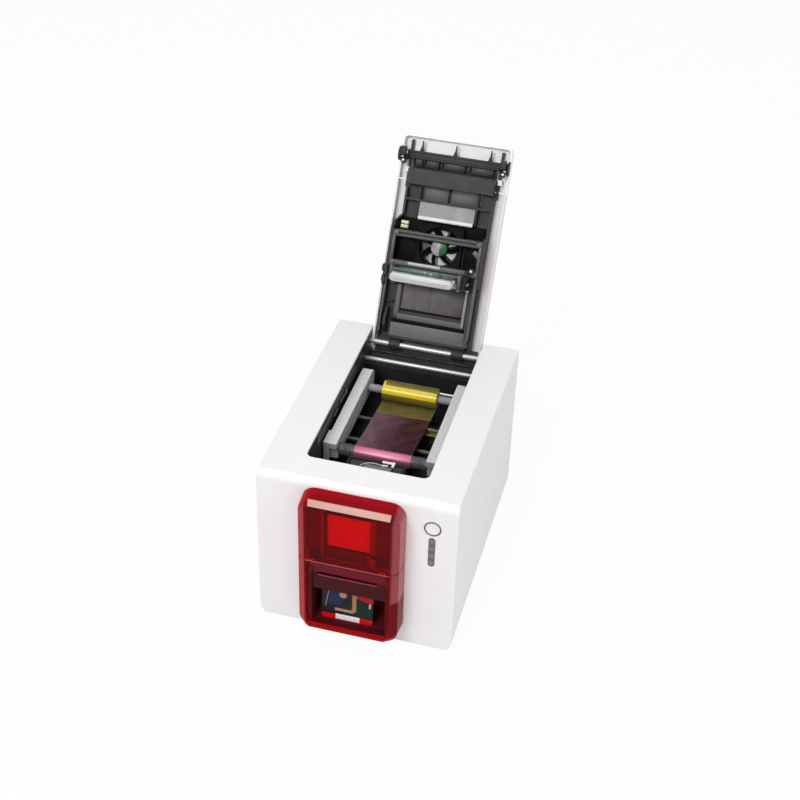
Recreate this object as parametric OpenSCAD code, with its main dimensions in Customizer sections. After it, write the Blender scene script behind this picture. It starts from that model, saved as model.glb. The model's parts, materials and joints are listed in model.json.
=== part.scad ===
// Desktop printer for plastic ID cards, standing on its feet with the lid open.
// Millimetres. +X is to the right seen from the front, +Y to the rear, +Z up.
// The origin is at desk level, in the middle of the printer with its lid open.

/* [Casing] */
// Width of the casing
casing_w = 205; // [200:1:212]
// Depth of the casing, from the front panel to the rear panel
casing_d = 281; // [279:1:290]
// Height of the casing above the desk, with its feet
casing_h = 195; // [193:1:205]
// Thickness of the casing's walls
wall = 2.5; // [2:0.25:2.75]
// Height of the rubber feet
foot_h = 3; // [2:0.5:4]
// Radius of the casing's lower edges
low_edge_r = 13; // [10:1:14]
// Radius of the edge between the top and the front
front_edge_r = 9; // [6:1:10]

/* [Ribbon well] */
// Width of the opening in the top
well_w = 126; // [125:0.5:130]
// Distance from the front panel to the opening
well_y = 36; // [34:1:38]
// Thickness of the well's liner and of the steel side plates
liner_t = 2; // [1.5:0.25:2.5]

/* [Lid] */
// Angle at which the lid stands open
lid_open = 120; // [95:1:120]
// Distance from the hinge rod to the rear panel, and down to it from the top
hinge_in = 13; // [13:0.5:14]
// Diameter of the hinge rod
hinge_rod_d = 6; // [5:0.5:7]
// Length of the release panel at the front of the lid
button_len = 48; // [46:1:50]
// Travel of the release panel
button_travel = 1.5; // [1:0.25:1.75]
// Travel of the latch bar
latch_travel = 2.5; // [1.5:0.25:2.5]

/* [Front tray] */
// Width of the red tray where it meets the front panel
tray_w = 106; // [104:1:108]
// Width of the red tray's front face
tray_front_w = 87; // [86:1:90]
// How far the tray stands out of the front panel
tray_d = 26; // [25:1:28]
// How far the tray's middle stands to the left of the casing's
tray_off = 1.8; // [0:0.2:2]
// Distance from the top down to the seam between the feeder door and the output hopper
tray_seam_drop = 80; // [79.5:0.5:81]

/* [Cards] */
// Width of a card
card_w = 54; // [54:0.1:54.2]
// Length of a card
card_l = 85.6; // [85.4:0.1:85.8]
// Thickness of a card
card_t = 0.76; // [0.5:0.01:0.8]
// Number of cards in the feeder
card_count = 54; // [20:1:54]

/* [Ribbon cassette] */
// Distance between the axes of the two spools
spool_pitch = 110; // [108:1:112]
// Radius of the full supply roll
supply_r = 10.5; // [8:0.5:10.5]
// Radius of the used ribbon's roll
takeup_r = 7.5; // [7:0.5:8]
// Width of the ribbon film
film_w = 60; // [56:1:62]

/* [Drive] */
// Radius of the rubber rollers under the card path
roller_r = 6.5; // [6:0.25:6.75]
// Radius of the toothed pulleys on the rollers
pulley_r = 7; // [6:0.5:7]

/* [Fits] */
// Radial clearance of shafts in their bores
running_fit = 0.05; // [0.03:0.01:0.08]
// Gap between the lid and the edge of its opening
lid_gap = 1.8; // [1.5:0.1:2]
// Gap at the casing's seams
seam = 0.3; // [0.2:0.05:0.4]
// Gap between moving pieces and what stands round them
free_gap = 0.4; // [0.35:0.05:0.5]

/* [Hidden] */
$fn = 48;

half_w = casing_w / 2;
floor_top = foot_h + wall;
top_edge_r = 2.9;
low_front_r = 4;
rear_edge_r = 3;
well_half = well_w / 2;
hinge_y = casing_d - hinge_in;
hinge_z = casing_h - hinge_in;
hinge_r = hinge_rod_d / 2;
knuckle_r = hinge_r + 3;
lid_swing_r = 17;

// The lid in its own terms: s runs from the hinge to the front edge, h up to the cover
lid_half = well_half - lid_gap;
lid_len = hinge_y - well_y - lid_gap;
lid_top = hinge_in;
lid_skin = 2.5;
lid_under = lid_top - lid_skin;
frame_h = lid_under - 0.3;
// The inner frame: the left side is wide round the fan, the right side narrow all the way
frame_half = lid_half - 3.5;
neck_half = lid_half - 11.7;
lid_reach = hinge_y - lid_len * cos(lid_open) + lid_top * sin(lid_open);
front_y = (tray_d - lid_reach) / 2;
button_s = lid_len - button_len;
latch_s = [lid_len - 28, lid_len - 13];
arm_x = [49, 52];
arm_h = [6, 8.4];
head_h = [-45, -35];
head_x = [-43, 28];
fan_r = 22.3;

// Card path: level under the stack, then rising to the print line
stack_z = hinge_z - 56;
stack_y = -10;
stack_top = stack_z + card_count * card_t;
guide_half = card_w / 2 + 0.6;
guide_t = 2.4;
feeder_rear = stack_y + card_l + 1.4;
takeup_y = feeder_rear + 22;
print_y = takeup_y + 93;
print_z = hinge_z + head_h[0];
platen_z = print_z - 0.7 - roller_r;
pickup_y = 64;
pickup_z = stack_z - free_gap - roller_r;
entry_y = feeder_rear + 2 + roller_r + 0.8;
entry_z = pickup_z + 0.4;
cleaning_r = 6;
cleaning_z = entry_z + roller_r + card_t + free_gap + cleaning_r;
shaft_r = 2.5;
pulley_x = [well_half + liner_t + 1.2, well_half + liner_t + 6.2];
motor_y = 140;
motor_z = stack_z - 30;
motor_pulley_r = 5;

// Ribbon cassette
rail_x = [47.5, 59];
rail_top = hinge_z - 9;
rail_low = hinge_z - 32;
supply_y = takeup_y + spool_pitch;
supply_z = hinge_z - 20;
takeup_z = hinge_z - 21.5;
journal_r = 3;
supply_shaft_r = 4.2;
takeup_shaft_r = 6.3;
tie_bar_r = 2.5;
film_t = 0.2;
dip_y = supply_y - 29;
dip_z = supply_z - 7;

// Print head and fan on the lid, in front of the hinge as the print line is
head_s = [hinge_y - print_y - 5, hinge_y - print_y + 5];
head_mid = hinge_y - print_y;
fan_s = head_mid + 36.6;
fan_x = -2;
neck_s = fan_s + 22;
window_s = [head_mid / 2 + 0.5, head_mid - 6];

// Feeder door and output hopper
tray_half = tray_w / 2;
tray_front_half = tray_front_w / 2;
tray_low = 18;
tray_seam_z = casing_h - tray_seam_drop;
tray_top = casing_h - 6.5;
tray_edge = 8;
tray_t = 2;
tray_corner_r = 15;
door_low = tray_seam_z + 0.8;
door_axis_y = 1.8 - tray_d;
door_axis_z = door_low + 0.6;
door_pin_r = 0.9;
ear_r = 1.7;
lip_z = 33;
chute_half = 40;
chute_front = [tray_t + 0.3 - tray_d, lip_z - 0.3];
chute_slope = 10;
cover_y = chute_front[0] + 2.2;
card_lean = 4;

// Front controls
button_x = 77.4;
button_z = casing_h - 30.2;
button_r = 7.3;
button_press = 1.2;
light_z = [button_z - 48.8, button_z - 11.5];

// Rear
board_z = 17;
board_t = 1.6;
switch_z = 49;
switch_x = -57;

// ---- helpers ----

// A box given by its ranges along X, Y and Z
module span(x, y, z) {
    translate([x[0], y[0], z[0]])
        cube([x[1] - x[0], y[1] - y[0], z[1] - z[0]]);
}

// A round bar along X
module rod_x(x, y, z, r) {
    translate([x[0], y, z])
        rotate([0, 90, 0])
            cylinder(r = r, h = x[1] - x[0]);
}

// A round bar along Y
module rod_y(x, y, z, r) {
    translate([x, y[0], z])
        rotate([-90, 0, 0])
            cylinder(r = r, h = y[1] - y[0]);
}

// An outline of Y and Z values, extruded along X
module prism_x(x, outline) {
    translate([x[0], 0, 0])
        rotate([90, 0, 90])
            linear_extrude(x[1] - x[0])
                polygon(outline);
}

// An outline of X and Z values, extruded along Y
module prism_y(y, outline) {
    translate([0, y[1], 0])
        rotate([90, 0, 0])
            linear_extrude(y[1] - y[0])
                polygon(outline);
}

// An outline of X and Y values, extruded along Z
module prism_z(z, outline) {
    translate([0, 0, z[0]])
        linear_extrude(z[1] - z[0])
            polygon(outline);
}

module both_sides() {
    children();
    mirror([1, 0, 0])
        children();
}

// Moves a piece drawn from the front panel into the printer's own frame
module place() {
    translate([0, front_y, 0])
        children();
}

// Moves a piece drawn round the hinge rod, lid closed, to where the open lid has it
module place_lid() {
    translate([0, front_y + hinge_y, hinge_z])
        rotate([-lid_open, 0, 0])
            children();
}

// A box on the lid: s is measured from the hinge, h from the hinge's axis
module lid_span(x, s, h) {
    span(x, [-s[1], -s[0]], h);
}

function arc(c, r, from, to, steps = 6) =
    [for (i = [0:steps]) c + r * [cos(from + (to - from) * i / steps), sin(from + (to - from) * i / steps)]];

function rounded(x, y, r) = concat(
    arc([x[0] + r, y[0] + r], r, 180, 270),
    arc([x[1] - r, y[0] + r], r, 270, 360),
    arc([x[1] - r, y[1] - r], r, 0, 90),
    arc([x[0] + r, y[1] - r], r, 90, 180));

// Where a line from point p touches the circle round c; side is 1 above, -1 below
function touch(p, c, r, side) =
    let (v = c - p, d = norm(v), a = atan2(v[1], v[0]) + side * asin(r / d), len = sqrt(d * d - r * r))
    p + len * [cos(a), sin(a)];

// ---- casing ----

// Side view of the casing, every edge moved in by i
function casing_side(i) = concat(
    arc([low_front_r, foot_h + low_front_r], low_front_r - i, 180, 270),
    arc([casing_d - low_edge_r, foot_h + low_edge_r], low_edge_r - i, 270, 360, 8),
    arc([casing_d - rear_edge_r, casing_h - rear_edge_r], rear_edge_r - i, 0, 90),
    arc([front_edge_r, casing_h - front_edge_r], front_edge_r - i, 90, 180, 8));

// Front view of the casing, every edge moved in by i
function casing_front(i) = concat(
    arc([low_edge_r - half_w, foot_h + low_edge_r], low_edge_r - i, 180, 270, 8),
    arc([half_w - low_edge_r, foot_h + low_edge_r], low_edge_r - i, 270, 360, 8),
    arc([half_w - top_edge_r, casing_h - top_edge_r], top_edge_r - i, 0, 90),
    arc([top_edge_r - half_w, casing_h - top_edge_r], top_edge_r - i, 90, 180));

module casing_block(i) {
    intersection() {
        prism_x([i - half_w, half_w - i], casing_side(i));
        prism_y([i, casing_d - i], casing_front(i));
    }
}

module casing_shell() {
    difference() {
        casing_block(0);
        casing_block(wall);
    }
}

// Everything behind the front panel and under the top plate, i further in
module behind_cover(i) {
    prism_x([-half_w - 1, half_w + 1], concat(
        [[wall + i, -1]],
        arc([front_edge_r, casing_h - front_edge_r], front_edge_r - wall - i, 180, 90, 8),
        [[casing_d + 1, casing_h - wall - i], [casing_d + 1, -1]]));
}

module front_top_cover() {
    color("white")
    place() {
        difference() {
            casing_block(0);
            behind_cover(0);
            // opening for the lid, out to the rear edge
            prism_z([casing_h - 20, casing_h + 1],
                rounded([-well_half, well_half], [well_y, casing_d + 20], 7));
            // opening behind the red tray
            prism_y([-1, wall + 1],
                rounded([6 - tray_half - tray_off, tray_half - 6 - tray_off],
                    [tray_low + 6, tray_top - 8], 9));
            rod_y(button_x, [-1, wall + 1], button_z, button_r + 1.5);
            prism_y([-1, wall + 1],
                rounded([button_x - 3.5, button_x + 3.5], light_z, 3.4));
        }
        // posts that carry the small board behind the controls
        for (z = [light_z[0] - 6, button_z + 14])
            rod_y(button_x, [wall, 12], z, 2.5);
    }
}

// The right-hand half of the side panel's place: the wall and the rounded edge under it
module side_zone() {
    span([half_w - wall, half_w + 1], [0, casing_d + 1], [0, casing_h]);
    span([half_w - low_edge_r - 2, half_w + 1], [0, casing_d + 1], [0, foot_h + low_edge_r]);
}

module side_panel() {
    intersection() {
        casing_shell();
        behind_cover(seam);
        side_zone();
    }
    // stiffening ribs inside the panel
    for (y = [60, 130, 200])
        span([half_w - wall - 3, half_w - wall], [y, y + 2], [foot_h + low_edge_r, casing_h - 12]);
}

module left_side_panel() {
    color("gainsboro")
    place()
        mirror([1, 0, 0])
            side_panel();
}

module right_side_panel() {
    color("gainsboro")
    place()
        side_panel();
}

module rear_panel() {
    color("gainsboro")
    place()
        difference() {
            span([wall + seam - half_w, half_w - wall - seam], [casing_d - wall, casing_d],
                [foot_h + low_edge_r + seam, casing_h - wall - seam]);
            // the lid's rear edge swings through here
            span([-well_half - 0.5, well_half + 0.5], [casing_d - wall - 1, casing_d + 1],
                [hinge_z - lid_swing_r, casing_h]);
            span([-36 - seam, -24 + seam], [casing_d - wall - 1, casing_d + 1], [0, 31 + seam]);
            span([8 - seam, 20 + seam], [casing_d - wall - 1, casing_d + 1], [0, 30 + seam]);
            span([30 - seam, 46 + seam], [casing_d - wall - 1, casing_d + 1], [0, 32 + seam]);
            span([switch_x - 9 - seam, switch_x + 9 + seam], [casing_d - wall - 1, casing_d + 1],
                [switch_z - 11 - seam, switch_z + 11 + seam]);
            // slot for a security lock
            span([72, 79], [casing_d - wall - 1, casing_d + 1], [30, 33]);
            // air slots
            for (i = [0:6])
                prism_y([casing_d - wall - 1, casing_d + 1],
                    rounded([-45, 45], [80 + 9 * i, 83.4 + 9 * i], 1.6));
        }
}

module base_tray() {
    half = half_w - low_edge_r - 2 - seam;
    color("lightgrey")
    place() {
        difference() {
            intersection() {
                casing_shell();
                behind_cover(seam);
                span([-half, half], [0, casing_d + 1], [0, foot_h + low_edge_r]);
            }
            for (x = [-60:15:60])
                prism_z([0, floor_top + 1], rounded([x - 1.5, x + 1.5], [70, 130], 1.4));
        }
        // posts under the main board
        for (x = [-52, 52], y = [casing_d - 111, casing_d - 19])
            translate([x, y, floor_top - 0.5])
                cylinder(r = 3, h = board_z - floor_top + 0.5);
    }
}

module rubber_feet() {
    color("dimgrey")
    place()
        for (x = [-72, 72], y = [24, casing_d - 28])
            translate([x, y, 0])
                cylinder(r = 7, h = foot_h);
}

// ---- well and chassis ----

module well_liner() {
    color([0.13, 0.13, 0.14])
    place() {
        both_sides() {
            difference() {
                span([well_half, well_half + liner_t], [well_y - liner_t, casing_d - 26],
                    [platen_z + 10.7, casing_h - wall]);
                // holes for the tie bar
                rod_x([well_half - 1, well_half + liner_t + 1], casing_d - 31.5, hinge_z - 11, tie_bar_r);
            }
            // ledge that carries the ribbon cassette
            span([rail_x[0] + 8, well_half], [takeup_y - 4, supply_y + 6], [rail_low - 2, rail_low]);
        }
        // front wall
        span([-well_half, well_half], [well_y - liner_t, well_y], [hinge_z - 6, casing_h - wall]);
        // step under the lid's hinge and the wall in front of it
        span([-well_half, well_half], [casing_d - 31, casing_d - wall - 0.2],
            [hinge_z - lid_swing_r - 5, hinge_z - lid_swing_r - 3]);
        span([-well_half, well_half], [casing_d - 31, casing_d - 29],
            [platen_z + 10.7, hinge_z - lid_swing_r - 3]);
    }
}

module frame_plate() {
    difference() {
        span([well_half, well_half + liner_t], [30, casing_d - 31], [floor_top, platen_z + 10.7]);
        rod_x([well_half - 1, well_half + liner_t + 1], print_y, platen_z, shaft_r + running_fit);
        rod_x([well_half - 1, well_half + liner_t + 1], pickup_y, pickup_z, shaft_r + running_fit);
        rod_x([well_half - 1, well_half + liner_t + 1], entry_y, entry_z, shaft_r + running_fit);
        rod_x([well_half - 1, well_half + liner_t + 1], motor_y, motor_z, shaft_r + running_fit);
        // window that saves weight
        span([well_half - 1, well_half + liner_t + 1], [print_y - 22, casing_d - 51],
            [foot_h + 37, motor_z - 6]);
    }
}

module left_frame_plate() {
    color("silver")
    place()
        mirror([1, 0, 0])
            frame_plate();
}

module right_frame_plate() {
    color("silver")
    place()
        frame_plate();
}

module hinge_brackets() {
    color("dimgrey")
    place()
        both_sides()
            difference() {
                span([well_half + 0.2, well_half + liner_t], [casing_d - 25.8, casing_d - 4],
                    [hinge_z - 32, casing_h - wall]);
                rod_x([well_half - 1, well_half + liner_t + 1], hinge_y, hinge_z, hinge_r + 0.02);
            }
}

module hinge_rod() {
    color("lightsteelblue")
    place()
        rod_x([-well_half - liner_t, well_half + liner_t], hinge_y, hinge_z, hinge_r);
}

module rear_tie_bar() {
    color("lightsteelblue")
    place()
        rod_x([-well_half - 1.5, well_half + 1.5], casing_d - 31.5, hinge_z - 11, tie_bar_r - 0.02);
}

module card_path_plate() {
    rear = casing_d - 31.2;
    color("silver")
    place()
        difference() {
            prism_x([-well_half, well_half], [
                [feeder_rear + 2, stack_z - 2.6], [print_y, print_z - 3.4], [rear, print_z - 3.4],
                [rear, print_z - 1.8], [print_y, print_z - 1.8], [feeder_rear + 2, stack_z - 1]]);
            span([-33, 33], [entry_y - roller_r - 0.8, entry_y + roller_r + 0.8],
                [print_z - 37, print_z + 13]);
            span([-33, 33], [print_y - roller_r - 0.8, print_y + roller_r + 0.8],
                [print_z - 37, print_z + 13]);
        }
}

// ---- feeder, hopper and cards ----

module card_feeder() {
    color([0.16, 0.15, 0.16])
    place()
        difference() {
            union() {
                both_sides()
                    span([guide_half, guide_half + guide_t], [1, feeder_rear + 2],
                        [stack_z - 4, hinge_z - 12]);
                span([-guide_half - 0.1, guide_half + 0.1], [stack_y - 1, feeder_rear + 2],
                    [stack_z - 4, stack_z - 0.3]);
                span([-guide_half - 0.1, guide_half + 0.1], [feeder_rear, feeder_rear + 2],
                    [stack_z + 1.2, hinge_z - 12]);
                // wings that rest on the frame plates
                both_sides()
                    span([guide_half + guide_t - 0.1, well_half], [32, 50], [stack_z - 4, stack_z - 1]);
            }
            span([-23, 23], [pickup_y - roller_r - 0.8, pickup_y + roller_r + 0.8],
                [stack_z - 26, stack_z + 1]);
        }
}

module card_stack() {
    color("white")
    place()
        prism_z([stack_z, stack_top], rounded([-card_w / 2, card_w / 2], [stack_y, stack_y + card_l], 3.2));
}

module stack_pusher() {
    half = guide_half - 0.6;
    color("dimgrey")
    place() {
        difference() {
            span([-half, half], [8, feeder_rear - 0.6], [stack_top, stack_top + 2]);
            span([-16, 16], [12, 30], [stack_top - 1, stack_top + 3]);
        }
        // curved finger grip
        prism_x([-10, 18], concat(
            arc([62, stack_top - 1.5], 9.5, 165, 15, 8), arc([62, stack_top - 1.5], 7.5, 15, 165, 8)));
    }
}

// Half the tray's outer width at y, which is negative in front of the panel
function tray_at(y) = lookup(y, [[-tray_d, tray_front_half], [tray_edge - tray_d, tray_half - 1.2],
    [0, tray_half], [1, tray_half]]);

// A thin slice of the tray at y: half its width, its lower and upper edge, and their corner radii
module tray_slice(y, half, z, r) {
    prism_y([y, y + 0.02], concat(
        arc([r[0] - half, z[0] + r[0]], r[0], 180, 270),
        arc([half - r[0], z[0] + r[0]], r[0], 270, 360),
        arc([half - r[1], z[1] - r[1]], r[1], 0, 90),
        arc([r[1] - half, z[1] - r[1]], r[1], 90, 180)));
}

// The tray's outer form, with every face moved in by i
module tray_form(i) {
    r = tray_corner_r - i;
    hull() {
        tray_slice(i > 0 ? 1 : -0.02, tray_half - i, [tray_low + i, tray_top - i], [r, r]);
        tray_slice(tray_edge - tray_d + 0.4 * i, tray_half - 1.2 - i, [tray_low + i, tray_top - i], [r, r]);
        tray_slice(i - tray_d, tray_front_half - 0.4 * i,
            [tray_low + 6.5 + 0.5 * i, tray_top - 3.5 - 0.65 * i], [6, 3]);
    }
}

// Moves a piece drawn in the middle of the tray to the tray's own place
module place_tray() {
    place()
        translate([-tray_off, 0, 0])
            children();
}

module feeder_door() {
    color([0.8, 0.1, 0.12, 0.6])
    place_tray()
        difference() {
            union() {
                difference() {
                    tray_form(0);
                    tray_form(tray_t);
                    span([-tray_w, tray_w], [-tray_d - 1, 2], [0, door_low]);
                    span([-tray_w, tray_w], [-seam, 2], [0, casing_h]);
                }
                // hinge lugs
                both_sides() {
                    rod_x([34, 38], door_axis_y, door_axis_z, ear_r);
                    span([34, 38], [0.5 - tray_d, door_axis_y + 1], [door_axis_z, door_axis_z + 3]);
                }
            }
            both_sides() {
                rod_x([33, 42], door_axis_y, door_axis_z, door_pin_r + running_fit);
                // notch round the hopper's ear
                span([chute_half - 1.2, chute_half + 1.4], [-tray_d - 1, door_axis_y + ear_r + 0.5],
                    [0, door_axis_z + ear_r + 0.4]);
            }
        }
}

module door_hinge_pin() {
    color("lightsteelblue")
    place_tray()
        both_sides()
            rod_x([33.5, chute_half + 1], door_axis_y, door_axis_z, door_pin_r);
}

module output_hopper() {
    color([0.8, 0.1, 0.12, 0.6])
    place_tray()
        difference() {
            union() {
                difference() {
                    tray_form(0);
                    tray_form(tray_t);
                    span([-tray_w, tray_w], [-tray_d - 1, 2], [tray_seam_z - 0.8, casing_h]);
                    span([2 - tray_front_half, tray_front_half - 2], [-tray_d - 1, tray_t - tray_d + 0.5],
                        [lip_z, casing_h]);
                }
                // ears that hold the door's hinge pin
                both_sides() {
                    rod_x([chute_half - 0.8, chute_half + 1], door_axis_y, door_axis_z, ear_r);
                    span([chute_half - 0.8, chute_half + 1], [door_axis_y, door_axis_y + ear_r],
                        [tray_seam_z - 8, door_axis_z]);
                    span([chute_half - 0.8, tray_at(door_axis_y) - 1], [door_axis_y, door_axis_y + ear_r],
                        [tray_seam_z - 8, tray_seam_z - 2]);
                }
            }
            rod_x([-chute_half - 2, chute_half + 2], door_axis_y, door_axis_z, door_pin_r + 0.01);
        }
}

// Height of the chute's floor at y
function chute_z(y) = chute_front[1] + (y - chute_front[0]) * tan(chute_slope);

module hopper_chute() {
    rear = feeder_rear - 3;
    top = stack_z - 14;
    front_top = tray_seam_z - 8.6;
    color([0.2, 0.12, 0.13])
    place()
        difference() {
            union() {
                // sloping floor
                prism_x([-chute_half, chute_half], [
                    chute_front, [chute_front[0], chute_front[1] - 2],
                    [rear, chute_z(rear) - 2], [rear, chute_z(rear)]]);
                // side walls, lower in front where the door's hinge is
                both_sides()
                    prism_x([chute_half - 2, chute_half], [
                        [chute_front[0], chute_front[1] - 1], [rear, chute_z(rear) - 1], [rear, top],
                        [0.5, top], [0.5, front_top], [chute_front[0], front_top]]);
                // cover over the upper half of the cards, with a slot in it
                span([0.1 - chute_half, chute_half - 0.1], [cover_y, cover_y + 2],
                    [front_top - 30, front_top]);
                // wall behind the cards
                span([0.1 - chute_half, chute_half - 0.1], [5, 7], [chute_z(7) - 1, top]);
                // tabs to the frame plates
                both_sides()
                    span([chute_half - 0.1, well_half], [40, 60], [60, 63]);
            }
            span([-30 - tray_off, 30 - tray_off], [cover_y - 1, cover_y + 3],
                [front_top - 10.5, front_top - 7.5]);
        }
}

module printed_card() {
    foot_y = cover_y + 4.5;
    color("midnightblue")
    place()
        translate([-tray_off - 1.5, foot_y, chute_z(foot_y + card_t) + 0.1])
            rotate([-card_lean, 0, 0])
                translate([0, card_t, 0])
                    rotate([90, 0, 0])
                        prism_z([0, card_t], rounded([-card_w / 2, card_w / 2], [0, card_l], 3.2));
}

// ---- front controls ----

module control_button() {
    color("whitesmoke")
    place() {
        rod_y(button_x, [-0.3, wall + 1], button_z, button_r);
        rod_y(button_x, [wall, 6.5], button_z, 3);
    }
}

module button_ring() {
    color("dimgrey")
    place()
        difference() {
            rod_y(button_x, [-0.5, wall], button_z, button_r + 1.5);
            rod_y(button_x, [-1, wall + 1], button_z, button_r + free_gap);
        }
}

module status_light() {
    color([0.25, 0.25, 0.27])
    place()
        prism_y([-0.2, wall + 1.5], rounded([button_x - 3.5, button_x + 3.5], light_z, 3.4));
}

module front_board() {
    color("seagreen")
    place() {
        span([button_x - 11, button_x + 11], [12, 12 + board_t], [light_z[0] - 10, button_z + 18]);
        rod_y(button_x, [8.4, 12], button_z, 2.5);
    }
}

// ---- cleaning and drive ----

module cleaning_cartridge() {
    x = [-8, 18];
    top = cleaning_z + cleaning_r + 16;
    color([0.78, 0.79, 0.8])
    place()
        difference() {
            union() {
                span([-33, 33], [entry_y - 4, entry_y + 4],
                    [cleaning_z + cleaning_r + 1, cleaning_z + cleaning_r + 8]);
                both_sides() {
                    span([30.6, 33], [entry_y - 4, entry_y + 4],
                        [cleaning_z - 4, cleaning_z + cleaning_r + 2]);
                    span([32.9, well_half], [entry_y - 4, entry_y + 4],
                        [cleaning_z + cleaning_r + 1, cleaning_z + cleaning_r + 5]);
                }
                // arm behind the feeder, with a finger tab
                span(x, [entry_y - 4, entry_y - 1.5], [cleaning_z + cleaning_r + 7, top]);
                span(x, [entry_y - 4, entry_y + 0.5], [top - 2, top]);
            }
            rod_x([-34, 34], entry_y, cleaning_z, 2 + running_fit);
        }
}

module cleaning_roller() {
    color("skyblue")
    place() {
        rod_x([-30, 30], entry_y, cleaning_z, cleaning_r);
        rod_x([-33, 33], entry_y, cleaning_z, 2);
    }
}

module pulley(y, z, r) {
    rod_x(pulley_x, y, z, r);
}

module pickup_roller() {
    color([0.3, 0.3, 0.32])
    place() {
        rod_x([-22, 22], pickup_y, pickup_z, roller_r);
        rod_x([-well_half - liner_t, pulley_x[1]], pickup_y, pickup_z, shaft_r);
        pulley(pickup_y, pickup_z, pulley_r);
    }
}

module entry_roller() {
    color([0.3, 0.3, 0.32])
    place() {
        rod_x([-30, 30], entry_y, entry_z, roller_r);
        rod_x([-well_half - liner_t, pulley_x[1]], entry_y, entry_z, shaft_r);
        pulley(entry_y, entry_z, pulley_r);
    }
}

module platen_roller() {
    color([0.12, 0.12, 0.13])
    place()
        difference() {
            rod_x([-31, 31], print_y, platen_z, roller_r);
            rod_x([-32, 32], print_y, platen_z, shaft_r + 1);
        }
}

module platen_shaft() {
    color("silver")
    place() {
        rod_x([-31, 31], print_y, platen_z, shaft_r + 1);
        rod_x([-well_half - liner_t, pulley_x[1]], print_y, platen_z, shaft_r);
        pulley(print_y, platen_z, pulley_r);
    }
}

module drive_motor() {
    color("darkgrey")
    place()
        difference() {
            rod_x([well_half - 34, well_half], motor_y, motor_z, 18);
            rod_x([well_half - 12, well_half + 1], motor_y, motor_z, shaft_r + running_fit);
        }
}

module motor_pulley() {
    color("silver")
    place() {
        rod_x([well_half - 10, pulley_x[1]], motor_y, motor_z, shaft_r);
        pulley(motor_y, motor_z, motor_pulley_r);
    }
}

// Outline round the pulleys, grown by g
module belt_loop(g) {
    hull() {
        translate([pickup_y, pickup_z])
            circle(r = pulley_r + g);
        translate([print_y, platen_z])
            circle(r = pulley_r + g);
        translate([motor_y, motor_z])
            circle(r = motor_pulley_r + g);
    }
}

module drive_belt() {
    color([0.1, 0.1, 0.1])
    place()
        translate([pulley_x[0] + 0.5, 0, 0])
            rotate([90, 0, 90])
                linear_extrude(pulley_x[1] - pulley_x[0] - 1)
                    difference() {
                        belt_loop(free_gap + 1.2);
                        belt_loop(free_gap);
                    }
}

// ---- ribbon cassette ----

module cassette_frame() {
    color([0.72, 0.73, 0.74])
    place()
        difference() {
            union() {
                both_sides() {
                    // rail with a rounded rear end
                    prism_x(rail_x, concat(
                        [[takeup_y - 4, rail_low]],
                        arc([supply_y + 15, rail_low + 8], 8, 270, 360),
                        arc([supply_y + 15, rail_top - 8], 8, 0, 90),
                        [[takeup_y - 4, rail_top]]));
                    // wide clip at the front, with its leg
                    span([rail_x[0], rail_x[1] + 2.5], [takeup_y - 10, takeup_y + 11],
                        [rail_top - 7, rail_top]);
                    span([rail_x[0] + 8, rail_x[1] + 2.5], [takeup_y - 10, takeup_y - 7],
                        [rail_low, rail_top - 6]);
                }
                // bars that join the rails under the film
                for (y = [takeup_y + 28, takeup_y + 66])
                    rod_x([-rail_x[0] - 1, rail_x[0] + 1], y, rail_low + 3.5, 2);
            }
            both_sides() {
                rod_x([rail_x[0] - 1, rail_x[0] + 5], supply_y, supply_z, journal_r + running_fit);
                rod_x([rail_x[0] - 1, rail_x[0] + 5], takeup_y, takeup_z, journal_r + running_fit);
            }
        }
}

module spool_core(y, z, r, shaft_r) {
    rod_x([-film_w / 2 - 1, film_w / 2 + 1], y, z, r);
    rod_x([free_gap - rail_x[0], rail_x[0] - free_gap], y, z, shaft_r);
    rod_x([-rail_x[0] - 4.5, rail_x[0] + 4.5], y, z, journal_r);
}

module spool_roll(y, z, core_r, r) {
    difference() {
        rod_x([-film_w / 2, film_w / 2], y, z, r);
        rod_x([-film_w / 2 - 1, film_w / 2 + 1], y, z, core_r);
    }
}

module supply_core() {
    color("grey")
    place()
        spool_core(supply_y, supply_z, 6, supply_shaft_r);
}

module supply_roll() {
    color("gold")
    place()
        spool_roll(supply_y, supply_z, 6, supply_r);
}

module takeup_core() {
    color([0.2, 0.2, 0.2])
    place()
        spool_core(takeup_y, takeup_z, takeup_shaft_r, takeup_shaft_r);
}

module takeup_roll() {
    color("palevioletred")
    place()
        spool_roll(takeup_y, takeup_z, takeup_shaft_r, takeup_r);
}

// Film from the underside of the supply roll, through its sag, to the top of the take-up roll
module ribbon_film() {
    dip = [dip_y, dip_z];
    a = touch(dip, [supply_y, supply_z], supply_r + free_gap + film_t, -1);
    b = touch(dip, [takeup_y, takeup_z], takeup_r + free_gap, -1);
    up = [0, film_t];
    color([0.45, 0.35, 0.1, 0.7])
    place()
        prism_x([-film_w / 2, film_w / 2], [a, dip, b, b + up, dip + up, a + up]);
}

// ---- electronics at the rear ----

module main_board() {
    color("seagreen")
    place() {
        span([-60, 60], [casing_d - 121, casing_d - 10], [board_z, board_z + board_t]);
        span([-20, 10], [casing_d - 91, casing_d - 61], [board_z + board_t, board_z + board_t + 3]);
        span([28, 44], [casing_d - 101, casing_d - 81], [board_z + board_t, board_z + board_t + 9]);
    }
}

module power_inlet() {
    color([0.12, 0.12, 0.12])
    place()
        difference() {
            span([-36, -24], [casing_d - 14, casing_d + 0.2], [board_z + board_t, 31]);
            rod_y(-30, [casing_d - 10, casing_d + 1], 25, 3.2);
        }
}

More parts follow.
